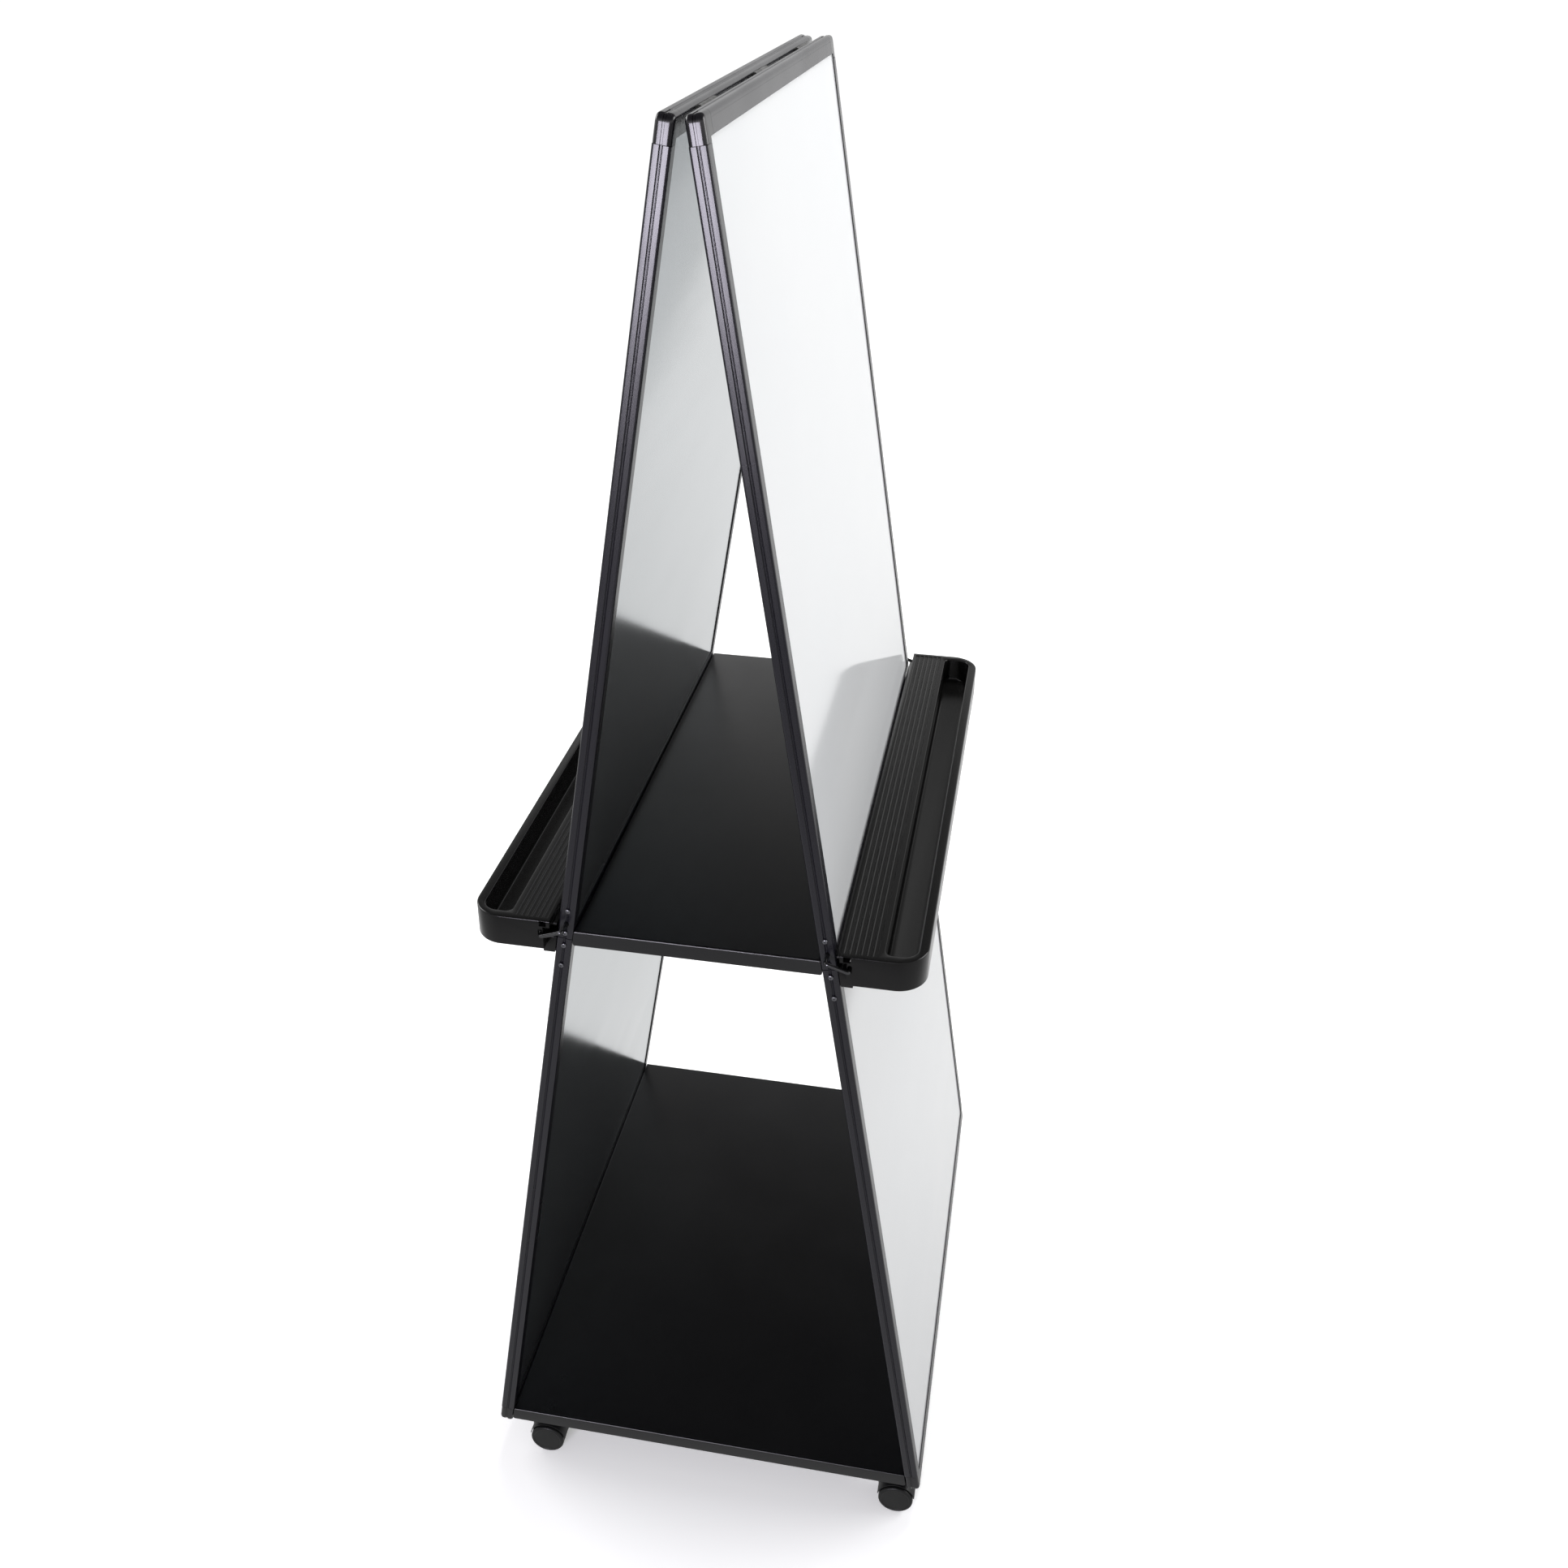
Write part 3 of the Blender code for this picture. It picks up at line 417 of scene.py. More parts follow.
# %% [markdown]
# ## The writing surface and the metal behind it
# The outer face of a panel is a hard white gloss with a trace of blue, and its sheen changes a
# little where it is wiped most. The inner face is the bare metal sheet of the panel's back,
# which mirrors the shelves. One panel shows both, so the material tells them apart: on an inner
# face the surface's direction and its place point to opposite sides of the middle plane.

# %% The two-sided finish of the panels
TONES = {
    "A": ((0.845, 0.862, 0.880, 1), (0.880, 0.890, 0.900, 1)),
    "B": ((0.545, 0.575, 0.590, 1), (0.590, 0.615, 0.630, 1)),
}


def board_finish():
    made, tree, shader = material("panel_white_and_metal")
    place = node(tree, "ShaderNodeTexCoord").outputs
    where = node(tree, "ShaderNodeSeparateXYZ", place["Object"]).outputs["Y"]
    facing = node(tree, "ShaderNodeSeparateXYZ", place["Normal"]).outputs["Y"]
    outward = node(tree, "ShaderNodeMath", where, facing, mode="MULTIPLY")
    inner = node(tree, "ShaderNodeMath", outward, 0.0, mode="LESS_THAN")
    slow = node(tree, "ShaderNodeTexNoise", Vector=place["Object"], Scale=2.2, Detail=3.0)
    stretch = node(tree, "ShaderNodeMapping", Vector=place["Object"], Scale=(0.25, 1.0, 1.3))
    wiped = node(tree, "ShaderNodeTexNoise", Vector=stretch, Scale=14.0, Detail=5.0)
    ramps = {}
    for side, (low, high) in TONES.items():
        ramps[side] = node(tree, "ShaderNodeValToRGB", Fac=slow)
        first, last = ramps[side].color_ramp.elements
        first.position, first.color = 0.30, low
        last.position, last.color = 0.72, high
    color = node(tree, "ShaderNodeMix", mode="RGBA", Factor=inner, **ramps)
    bare = node(tree, "ShaderNodeMath", inner, 0.9, mode="MULTIPLY")
    sheen = node(
        tree, "ShaderNodeMapRange",
        Value=wiped, From_Min=0.3, From_Max=0.7, To_Min=0.055, To_Max=0.095,
    )
    rough = node(tree, "ShaderNodeMath", inner, 0.07, sheen, mode="MULTIPLY_ADD")
    bump = node(tree, "ShaderNodeBump", Strength=0.10, Distance=0.0004, Height=slow)
    tree.links.new(color.outputs["Result"], shader.inputs["Base Color"])
    tree.links.new(bare.outputs[0], shader.inputs["Metallic"])
    tree.links.new(rough.outputs[0], shader.inputs["Roughness"])
    tree.links.new(bump.outputs["Normal"], shader.inputs["Normal"])
    shader.inputs["IOR"].default_value = 1.46
    return made


FINISH["board"] = board_finish()

# %% Giving a finished piece its finish, its body and the node that it stands for
PIECES = []


def fitted(piece, finish_name, target, body="stand"):
    piece.data.materials.clear()
    piece.data.materials.append(FINISH[finish_name])
    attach(piece, body)
    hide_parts(target)
    PIECES.append(piece)
    return piece


def gone(*pieces):
    """Removes the patterns that copies were taken from."""
    for piece in pieces:
        bpy.data.objects.remove(piece, do_unlink=True)


# %% [markdown]
# ## The boards stay as they are
# A writing panel is a flat sheet with square edges that hide in the rails' slots. Its solid in
# the model is already right, so it keeps its mesh and only gets the white finish. The two
# channels that carry the casters are plain folded steel and stay as well.

# %% Finish the panels and the caster bars
for name, piece in nodes.items():
    kept = {"_board": "board", "caster_bar": "shelf"}
    for part_name, finish_name in kept.items():
        if part_name in name:
            piece.data.materials.clear()
            piece.data.materials.append(FINISH[finish_name])
            print("kept", name)

# %% [markdown]
# ## Rails
# A rail is drawn the way an extrusion die is: a flat section first, then pulled out to length.
# The section starts as a plane the size of the rail. It is scored along every line where
# something changes, and the cells that are air are deleted: the valley along the outer edge
# with its raised strip, the hollow for the splice bar, and the slot that holds the panel. The
# cells that are left are merged on either side of the hollow, and points that lie in the middle
# of a straight edge are dissolved, since a rounding would catch on them.

# %% The flat section
OUTER_WALL = 0.0027
CHAMBER_FAR = 0.0072
SLOT_BOTTOM = 0.0085
SIDE_WALL = 0.0025
LIP = 0.0012
VALLEY_DEPTH = 0.0012
VALLEY_HALF = 0.0017
STRIP_HALF = 0.0006
STRIP_TOP = 0.0006


def is_air(inset, depth):
    """Whether this point of the section lies in the valley, the hollow or the panel's slot."""
    off = abs(depth - MIDDLE)
    if inset < VALLEY_DEPTH and off < VALLEY_HALF:
        return inset < STRIP_TOP or off > STRIP_HALF
    if OUTER_WALL < inset < CHAMBER_FAR:
        return off < MIDDLE - SIDE_WALL
    return inset > SLOT_BOTTOM and off < MIDDLE - LIP


def flat_section(name, bezel):
    """A rail's section as a sheet that faces up, left open in edit mode."""
    bpy.ops.object.select_all(action="DESELECT")
    bpy.ops.mesh.primitive_plane_add(size=1, location=(bezel / 2, MIDDLE, 0))
    bpy.context.object.scale = (bezel, RAIL_DEPTH, 1)
    piece = settled(name)
    opened(piece)
    insets = (STRIP_TOP, VALLEY_DEPTH, OUTER_WALL, CHAMBER_FAR, SLOT_BOTTOM)
    lines = [((inset, 0, 0), (1, 0, 0)) for inset in insets]
    for off in (STRIP_HALF, VALLEY_HALF, MIDDLE - SIDE_WALL, MIDDLE - LIP):
        lines += [((0, MIDDLE + sign * off, 0), (0, 1, 0)) for sign in (-1, 1)]
    for point, normal in lines:
        score(point, normal)
    cells = pick(piece, "faces", lambda face: is_air(*spot(face)[:2]))
    bpy.ops.mesh.delete(type="FACE")
    for beyond in (False, True):
        pick(piece, "faces", lambda face: (spot(face).x > CHAMBER_FAR) == beyond)
        bpy.ops.mesh.dissolve_faces()
    pick(piece, "verts", lambda vert: len(vert.link_edges) == 2 and vert.calc_edge_angle() < 0.01)
    bpy.ops.mesh.dissolve_verts()
    print(name, "cells of air", cells)
    return piece


# %% [markdown]
# Pulling the section out gives the whole bar at once. Its long edges are then rounded by place:
# two of them make the lobes, narrow bevels break the sharp edges, and the valley's foot gets
# sloping sides, so that it reads as two dark lines. Last comes a fine chamfer round the outside
# of each end, which catches light at the seams. It stays out of the valley and the hollows,
# because their walls are too short there to hold it.

# %% The whole bar
LOBE_RADIUS = 0.0026
END_LOBE_RADIUS = 0.0046
LOBE_STEPS = 9
EDGE_BREAK = 0.0003
VALLEY_SLOPE = 0.0008
END_CHAMFER = 0.00025
VALLEY_MARGIN = 0.0002


def looks_out(face):
    """Whether a long face of the bar belongs to its outside and not to a hollow or the valley."""
    place, normal = spot(face), face.normal
    if abs(normal.z) > 0.1:
        return False
    off = place.y - MIDDLE
    beside_valley = abs(off) > VALLEY_HALF + VALLEY_MARGIN
    at_lobe = place.x < END_LOBE_RADIUS and normal.x < -0.05 and beside_valley
    near_side = abs(off) > MIDDLE - END_LOBE_RADIUS
    return at_lobe or (near_side and abs(normal.y) > 0.5 and off * normal.y > 0)


def rail(name, bezel, length, lobe=LOBE_RADIUS):
    piece = flat_section(name, bezel)
    bpy.ops.mesh.select_all(action="SELECT")
    pull((0, 0, length))
    sides = (0, RAIL_DEPTH)
    valley = (MIDDLE - VALLEY_HALF, MIDDLE + VALLEY_HALF)
    strip = (MIDDLE - STRIP_HALF, MIDDLE + STRIP_HALF)
    rounds = (
        (lobe, LOBE_STEPS, 0, sides),
        (EDGE_BREAK, 1, 0, valley),
        (EDGE_BREAK, 1, STRIP_TOP, strip),
        (EDGE_BREAK, 1, bezel, sides),
        (VALLEY_SLOPE, 1, VALLEY_DEPTH, valley),
    )
    for radius, steps, inset, depths in rounds:
        pick(
            piece, "edges",
            lambda edge: runs(edge, 2)
            and same(spot(edge).x, inset)
            and any(same(spot(edge).y, depth) for depth in depths),
        )
        bevel(radius, steps)
    pick(
        piece, "edges",
        lambda edge: (same(spot(edge).z, 0) or same(spot(edge).z, length))
        and any(looks_out(face) for face in edge.link_faces),
    )
    bevel(END_CHAMFER, 1)
    return closed(piece)


# %% [markdown]
# The side rails are drilled through their outer wall for the splice screws, and the upper ones
# for the wire that holds the tray. A drill is a cylinder, and the hole is a Boolean. The rails
# that end in corners, at the top and the foot, have wider lobes and a hairline seam along each
# face, which thin blocks cut.

# %% Rails for the sides and for the top, joint and foot
SCREWS_BELOW = (0.8405, 0.870)
SCREWS_ABOVE = (0.888, 0.9195)
STAY_HEIGHT = 0.901
SCREW_HOLE = 0.0019
STAY_HOLE = 0.0030
DRILL_DEPTH = 0.0045
SEAM_NEAR = 0.0070
SEAM_FAR = 0.0073
SEAM_DEPTH = 0.0002


def drilled(piece, foot, screws, stay=None):
    holes = [(height - foot, SCREW_HOLE) for height in screws]
    if stay:
        holes.append((stay - foot, STAY_HOLE))
    drills = [
        round_bar("drill", (-OVERRUN, MIDDLE, z), (DRILL_DEPTH, MIDDLE, z), radius, 24)
        for z, radius in holes
    ]
    return carve(piece, *drills)


LOWER_FOOT = CAP_ARM + GAP
UPPER_FOOT = LOWER_LENGTH + GAP
lower_side = rail("lower_side", SIDE_BEZEL, LOWER_LENGTH - CAP_ARM - 2 * GAP)
upper_side = rail("upper_side", SIDE_BEZEL, UPPER_LENGTH - CAP_ARM - 2 * GAP)
drilled(lower_side, LOWER_FOOT, SCREWS_BELOW)
drilled(upper_side, UPPER_FOOT, SCREWS_ABOVE, STAY_HEIGHT)
capped = rail("capped", CROSS_BEZEL, 2 * (HALF_WIDTH - CAP_ARM - GAP), END_LOBE_RADIUS)
butted = rail("butted", CROSS_BEZEL, 2 * (HALF_WIDTH - SIDE_BEZEL - GAP))
seams = [
    block("seam", (SEAM_NEAR, y - SEAM_DEPTH, -OVERRUN), (SEAM_FAR, y + SEAM_DEPTH, LEG_LENGTH))
    for y in (0, RAIL_DEPTH)
]
carve(capped, *seams)
for piece in (lower_side, upper_side, capped, butted):
    told(shaded(piece))

# %% [markdown]
# ## Corner caps
# Each corner of a frame is a moulding that carries the rail's section round the bend and plugs
# into both rails. It starts as a square block with its inner quarter cut away. The sharp outer
# corner is rounded first, so that the valley, the strip and the two lobes can all follow the
# same curve. The arms are left long while the valley is pressed in and are trimmed at the end,
# because a groove that stopped at a face would leave a skin over its end.

# %% Model the corner
CAP_SPARE = 0.006
CAP_BEND = 0.008
PLUG_REACH = 0.020
PLUG_SOFT = 0.0006
CUT_FAR = 0.05


def outward(normal):
    """Whether a face looks out of the frame: up, to the left, or round the bend between."""
    return normal.z - normal.x > 0.9 and abs(normal.y) < 0.1


def cap_shell(name):
    """The corner's outside, with the valley, the strip and the lobes led round the bend."""
    reach = CAP_ARM + CAP_SPARE
    piece = block(name, (0, 0, -reach), (reach, RAIL_DEPTH, 0))
    quarter = block(
        "quarter", (SIDE_BEZEL, -OVERRUN, -CUT_FAR), (CUT_FAR, RAIL_DEPTH + OVERRUN, -CROSS_BEZEL)
    )
    carve(piece, quarter)
    opened(piece)
    for off in (-VALLEY_HALF, -STRIP_HALF, STRIP_HALF, VALLEY_HALF):
        score((0, MIDDLE + off, 0), (0, 1, 0))
    pick(
        piece, "edges",
        lambda edge: runs(edge, 1) and same(spot(edge).x, 0) and same(spot(edge).z, 0),
    )
    bevel(CAP_BEND, 10)
    for half, press in ((VALLEY_HALF, -VALLEY_DEPTH), (STRIP_HALF, VALLEY_DEPTH - STRIP_TOP)):
        pick(
            piece, "faces",
            lambda face: outward(face.normal) and abs(spot(face).y - MIDDLE) < half,
        )
        bpy.ops.mesh.extrude_region_shrink_fatten(TRANSFORM_OT_shrink_fatten={"value": press})
    pick(
        piece, "edges",
        lambda edge: (same(spot(edge).y, 0) or same(spot(edge).y, RAIL_DEPTH))
        and any(outward(face.normal) for face in edge.link_faces)
        and any(abs(face.normal.y) > 0.9 for face in edge.link_faces),
    )
    bevel(END_LOBE_RADIUS, 8)
    score((CAP_ARM, 0, 0), (1, 0, 0), trim=True)
    score((0, 0, -CAP_ARM), (0, 0, -1), trim=True)
    return closed(piece)


def corner_cap(name):
    """The shell with its pocket for the panel and a plug for each of its two rails."""
    piece = cap_shell(name)
    pocket = block(
        "panel_pocket", (SLOT_BOTTOM, LIP, -CUT_FAR), (CUT_FAR, RAIL_DEPTH - LIP, -SLOT_BOTTOM)
    )
    carve(piece, pocket)
    near, far = OUTER_WALL + GAP, CHAMBER_FAR - GAP
    low, high = SIDE_WALL + GAP, RAIL_DEPTH - SIDE_WALL - GAP
    tip, root = CAP_ARM + PLUG_REACH, CAP_ARM - OVERLAP
    down = block("down_plug", (near, low, -tip), (far, high, -root))
    across = block("cross_plug", (root, low, -far), (tip, high, -near))
    return joined(name, [piece, soften(down, PLUG_SOFT), soften(across, PLUG_SOFT)])


cap = told(shaded(corner_cap("corner_pattern")))

# %% [markdown]
# ## Splice bars and their screws
# Each leg is made of two lengths with a steel bar inside the joint. Four dome-headed screws hold
# it, and only their heads show. A head starts as a short cylinder whose outer rim is rounded
# into a dome, and two crossed slivers cut the recess for the driver.

# %% Model a screw
SCREW_RADIUS = 0.0032
SCREW_RISE = 0.0018
SCREW_SHANK = 0.0045


def screw(name, radius=SCREW_RADIUS, rise=SCREW_RISE, shank=SCREW_SHANK):
    """A dome-headed screw whose seat is at x = 0 and whose head points to -X."""
    head = round_bar(name, (-rise, 0, 0), (0, 0, 0), radius, 28)
    opened(head)
    pick(head, "edges", lambda edge: same(spot(edge).x, -rise))
    dome = rise * 0.72
    bevel(dome, 4)
    closed(head)
    arm = radius * 0.50
    thin = radius * 0.12
    deep = -rise * 0.45
    above = -2 * rise
    carve(
        head,
        block("recess", (above, -arm, -thin), (deep, arm, thin)),
        block("recess", (above, -thin, -arm), (deep, thin, arm)),
    )
    stem = round_bar("shank", (-rise / 4, 0, 0), (shank, 0, 0), radius / 2, 16)
    return joined(name, [head, stem])


# %% Model the bar with its four screws
SPLICE_REACH = 0.054
SPLICE_SOFT = 0.0006


def splice_bar(name):
    near, far = OUTER_WALL + GAP, CHAMBER_FAR - GAP
    low, high = SIDE_WALL + GAP, RAIL_DEPTH - SIDE_WALL - GAP
    foot, top = LOWER_LENGTH - SPLICE_REACH, LOWER_LENGTH + SPLICE_REACH
    bar = block(name, (near, low, foot), (far, high, top))
    soften(bar, SPLICE_SOFT)
    hole = round_bar(
        "drill", (0, MIDDLE, STAY_HEIGHT), (far + OVERRUN, MIDDLE, STAY_HEIGHT), STAY_HOLE, 24
    )
    carve(bar, hole)
    pattern = screw("screw_pattern")
    heads = [
        copy_to(pattern, "head", Matrix.Translation((-GAP, MIDDLE, height)))
        for height in SCREWS_BELOW + SCREWS_ABOVE
    ]
    gone(pattern)
    return joined(name, [bar, *heads])


splice = told(shaded(splice_bar("splice_pattern")))

# %% [markdown]
# ## Setting the frames up
# A board has a frame of its own: X runs across, Y into the A-frame and Z up the slope. Leaning
# that frame and standing it on its foot line puts every rail, corner and bar in place at once.
# The back board is the front one turned half round.

# %% Copy the rails, corners and bars into both frames
LEFT_EDGE = Matrix.Translation((-HALF_WIDTH, 0, 0))
RIGHT_EDGE = Matrix.Translation((HALF_WIDTH, RAIL_DEPTH, 0)) @ Matrix.Rotation(math.pi, 4, "Z")
HANG_DOWN = Matrix(((0, 0, 1, 0), (0, 1, 0, 0), (-1, 0, 0, 0), (0, 0, 0, 1)))
STAND_UP = Matrix(((0, 0, -1, 0), (0, 1, 0, 0), (1, 0, 0, 0), (0, 0, 0, 1)))
FLIP = Matrix.Translation((0, RAIL_DEPTH, 0)) @ Matrix.Rotation(math.pi, 4, "X")
FRONT = Matrix.Translation((0, -FOOT_SPREAD, FRAME_LIFT)) @ Matrix.Rotation(-LEAN, 4, "X")
HALF_TURN = Matrix.Rotation(math.pi, 4, "Z")
LEANING = {"front": FRONT, "back": HALF_TURN @ FRONT}
EDGES = {
    "front": {"left": LEFT_EDGE, "right": RIGHT_EDGE},
    "back": {"left": RIGHT_EDGE, "right": LEFT_EDGE},
}


def shift(x, y, z):
    return Matrix.Translation((x, y, z))


across = HALF_WIDTH - CAP_ARM - GAP
butt = HALF_WIDTH - SIDE_BEZEL - GAP
CROSS_RAILS = {
    "top_rail": (capped, shift(-across, 0, LEG_LENGTH) @ HANG_DOWN),
    "lower_head_rail": (butted, shift(-butt, 0, LOWER_LENGTH - GAP) @ HANG_DOWN),
    "upper_foot_rail": (butted, shift(butt, 0, LOWER_LENGTH + GAP) @ STAND_UP),
    "bottom_rail": (capped, shift(across, 0, 0) @ STAND_UP),
}
for side, lean in LEANING.items():
    for name, (pattern, matrix) in CROSS_RAILS.items():
        target = f"{side}_{name}"
        fitted(copy_to(pattern, target + "_bar", lean @ matrix), "rail", target)
    for end, edge in EDGES[side].items():
        uprights = (
            ("lower_side_rail", lower_side, edge @ shift(0, 0, LOWER_FOOT), "rail", "frame"),
            ("upper_side_rail", upper_side, edge @ shift(0, 0, UPPER_FOOT), "rail", "frame"),
            ("top_corner", cap, shift(0, 0, LEG_LENGTH) @ edge, "cap", "corner"),
            ("bottom_corner", cap, edge @ FLIP, "cap", "corner"),
            ("splice_bar", splice, edge, "screw", "dark_steel"),
        )
        for name, pattern, matrix, finish_name, slot in uprights:
            target = f"{side}_{name}_{end}"
            fitted(copy_to(pattern, target + "_part", lean @ matrix), finish_name, target)
gone(lower_side, upper_side, capped, butted, cap, splice)
print("pieces so far", len(PIECES))

# %% [markdown]
# ## Shelves
# A shelf is one sheet of steel with its four edges folded down. Its long edges lean with the
# boards. A box without a bottom has that shape already: the lower edge is spread to follow the
# lean, the folds are rounded, and a Solidify modifier gives the sheet its thickness.

# %% Model both shelves
SHEET = 0.0015
SHELF_LIP = 0.020
LIP_CORNER = 0.0035
FOLD_RADIUS = 0.0024
SHELF_HALF = HALF_WIDTH - 0.001
BASE_SHELF_TOP = 0.0815
MID_SHELF_RISE = 0.012
MID_SHELF_TOP = JOINT_HEIGHT - RAIL_DEPTH * math.sin(LEAN) + MID_SHELF_RISE
LEANING_GAP = GAP / math.cos(LEAN)


def shelf_skin(name, top):
    """The shelf without a thickness: a leaning box with no bottom, its lips' corners rounded."""
    foot = top - SHELF_LIP
    wide_top = inner_face(top) - LEANING_GAP
    wide_foot = inner_face(foot) - LEANING_GAP
    piece = block(name, (-SHELF_HALF, -wide_top, foot), (SHELF_HALF, wide_top, top))
    opened(piece)
    pick(piece, "verts", lambda vert: same(vert.co.z, foot))
    bpy.ops.transform.resize(value=(1, wide_foot / wide_top, 1), center_override=(0, 0, foot))
    pick(piece, "faces", lambda face: face.normal.z < -0.9)
    bpy.ops.mesh.delete(type="FACE")
    corner_line = foot + LIP_CORNER
    score((0, 0, corner_line), (0, 0, 1))
    pick(piece, "faces", lambda face: abs(face.normal.y) > 0.9 and spot(face).z < corner_line)
    bpy.ops.mesh.delete(type="FACE")
    pick(piece, "verts", lambda vert: same(vert.co.z, foot))
    bevel(LIP_CORNER, 6, "VERTICES")
    pick(
        piece, "edges",
        lambda edge: same(spot(edge).z, top) and not same(edge.calc_face_angle(0), 0),
    )
    bevel(FOLD_RADIUS, 6)
    return closed(piece)


def shelf(name, top):
    piece = shelf_skin(name, top)
    alone(piece)
    sheet = piece.modifiers.new("sheet", "SOLIDIFY")
    sheet.thickness = SHEET
    sheet.offset = -1
    sheet.use_even_offset = True
    bpy.ops.object.modifier_apply(modifier=sheet.name)
    return told(shaded(piece, 40))


for target, top in (("mid_shelf", MID_SHELF_TOP), ("base_shelf", BASE_SHELF_TOP)):
    fitted(shelf(target + "_pan", top), "shelf", target)
    print(target, "sheet box", [round(v, 4) for v in PIECES[-1].dimensions])

# %% [markdown]
# ## Hinges
# Three butt hinges join the two top rails. Their knuckles lie in the narrow gap between the
# boards and catch the light there, so they are round, with a hairline between one and the next.
# One leaf carries the first, third and fifth knuckle and the pin, and the other leaf the rest.
# Each leaf is held by three screws with low heads.

# %% Sizes of a hinge
HINGE_LENGTH = 0.068
KNUCKLES = 5
PITCH = HINGE_LENGTH / KNUCKLES
KNUCKLE_RADIUS = 0.0031
KNUCKLE_SOFT = 0.0002
PIN_RADIUS = 0.0013
PIN_END = 0.0004
EYE_RADIUS = 0.0016
PIN_DROP = 0.0038
PIN_HEIGHT = FRAME_LIFT + LEG_LENGTH * math.cos(LEAN) - RAIL_DEPTH * math.sin(LEAN) - PIN_DROP
PIN = FRONT.inverted() @ Vector((0, 0, PIN_HEIGHT))
LEAF_SHEET = 0.0012
LEAF_NEAR = RAIL_DEPTH + GAP
LEAF_FAR = LEAF_NEAR + LEAF_SHEET
LEAF_FOOT = LEG_LENGTH - 0.0215
LEAF_TOP = PIN.z - KNUCKLE_RADIUS - 0.0008
LEAF_CORNER = 0.004
LEAF_SCREWS = (-0.024, 0.0, 0.024)
LEAF_SCREW_RISE = 0.0058
LEAF_SCREW_SIZES = (0.0023, 0.0006, 0.002)
HINGE_PLACE = 0.267
print("hinge pin", round(PIN_HEIGHT, 4), "above the floor")


# %% Model the two leaves
def hinge_plate(name):
    half = HINGE_LENGTH / 2
    plate = block(name, (-half, LEAF_NEAR, LEAF_FOOT), (half, LEAF_FAR, LEAF_TOP))
    opened(plate)
    pick(plate, "edges", lambda edge: runs(edge, 1) and same(spot(edge).z, LEAF_FOOT))
    bevel(LEAF_CORNER, 6)
    closed(plate)
    head = screw("plate_screw_pattern", *LEAF_SCREW_SIZES)
    turn = Matrix.Rotation(-math.pi / 2, 4, "Z")
    screws = [
        copy_to(head, "plate_screw", shift(x, LEAF_FAR, LEAF_FOOT + LEAF_SCREW_RISE) @ turn)
        for x in LEAF_SCREWS
    ]
    gone(head)
    return [plate, *screws]


def along_pin(name, start, end, radius, sides):
    return round_bar(name, (start, PIN.y, PIN.z), (end, PIN.y, PIN.z), radius, sides)


def hinge_leaf(name, own, with_pin):
    """A plate with the knuckles of its own, which are numbered along the pin."""
    half = HINGE_LENGTH / 2
    parts = hinge_plate(name)
    for i in own:
        start = -half + i * PITCH + (GAP / 2 if i else 0)
        end = -half + (i + 1) * PITCH - (GAP / 2 if i < KNUCKLES - 1 else 0)
        barrel = along_pin("knuckle", start, end, KNUCKLE_RADIUS, 28)
        if not with_pin:
            carve(barrel, along_pin("eye", -half, half, EYE_RADIUS, 20))
        parts.append(soften(barrel, KNUCKLE_SOFT, 1))
        parts.append(block("web", (start, LEAF_NEAR, LEAF_TOP - OVERLAP), (end, LEAF_FAR, PIN.z)))
    if with_pin:
        parts.append(along_pin("pin", -half - PIN_END, half + PIN_END, PIN_RADIUS, 20))
    return told(shaded(joined(name, parts)))


leaves = {
    "front": hinge_leaf("front_leaf_pattern", (0, 2, 4), True),
    "back": hinge_leaf("back_leaf_pattern", (1, 3), False),
}
for end, x in (("left", -HINGE_PLACE), ("middle", 0.0), ("right", HINGE_PLACE)):
    for side, along in (("front", x), ("back", -x)):
        target = f"top_hinge_{end}_{side}_leaf"
        piece = copy_to(leaves[side], target + "_plate", LEANING[side] @ shift(along, 0, 0))
        fitted(piece, "hinge", target)
gone(*leaves.values())

# %% [markdown]
# ## Marker trays
# The tray is a plastic moulding: a ribbed deck next to the board and a deep channel outside it
# for the markers. It starts as a block. The two outer corners are rounded first and the rims
# after them, so that the rim's rounding runs through the corners. Everything hollow is cut with
# shaped blocks, so those are made first.

# %% Sizes of the tray
TRAY_HALF = 0.3945
TRAY_DEPTH = 0.095
TRAY_HEIGHT = 0.040
TRAY_TOP = JOINT_HEIGHT + 0.0305
TRAY_BOTTOM = TRAY_TOP - TRAY_HEIGHT
TRAY_INNER = outer_face(TRAY_TOP) + 0.0108
TRAY_WALL = 0.003
FLANGE_DEPTH = 0.006
DECK_EDGE = -0.0025
DECK_UNDERSIDE = TRAY_HEIGHT - TRAY_WALL
CORNER = 0.036
CORNER_STEPS = 18
CHANNEL = ((-TRAY_HALF + 0.012, 0.0465), (TRAY_HALF - 0.012, 0.0835))
CHANNEL_FLOOR = 0.0055
CHANNEL_CORNERS = {"near": 0.009, "far": 0.018}
print("tray between", round(TRAY_BOTTOM, 4), "and", round(TRAY_TOP, 4))


# %% Blocks with rounded corners, to cut with
def rounded_block(name, low, high, upright, foot=0.0, steps=10):
    """A block with its upright edges rounded, each side by its own radius, and then its foot."""
    piece = block(name, low, high)
    opened(piece)
    for side, y in (("near", low[1]), ("far", high[1])):
        if side in upright:
            pick(piece, "edges", lambda edge: runs(edge, 2) and same(spot(edge).y, y))
            bevel(upright[side], steps)
    if foot:
        pick(
            piece, "edges",
            lambda edge: same(spot(edge).z, low[2])
            and any(abs(face.normal.z) < 0.1 for face in edge.link_faces),
        )
        bevel(foot, 4)
    return closed(piece)


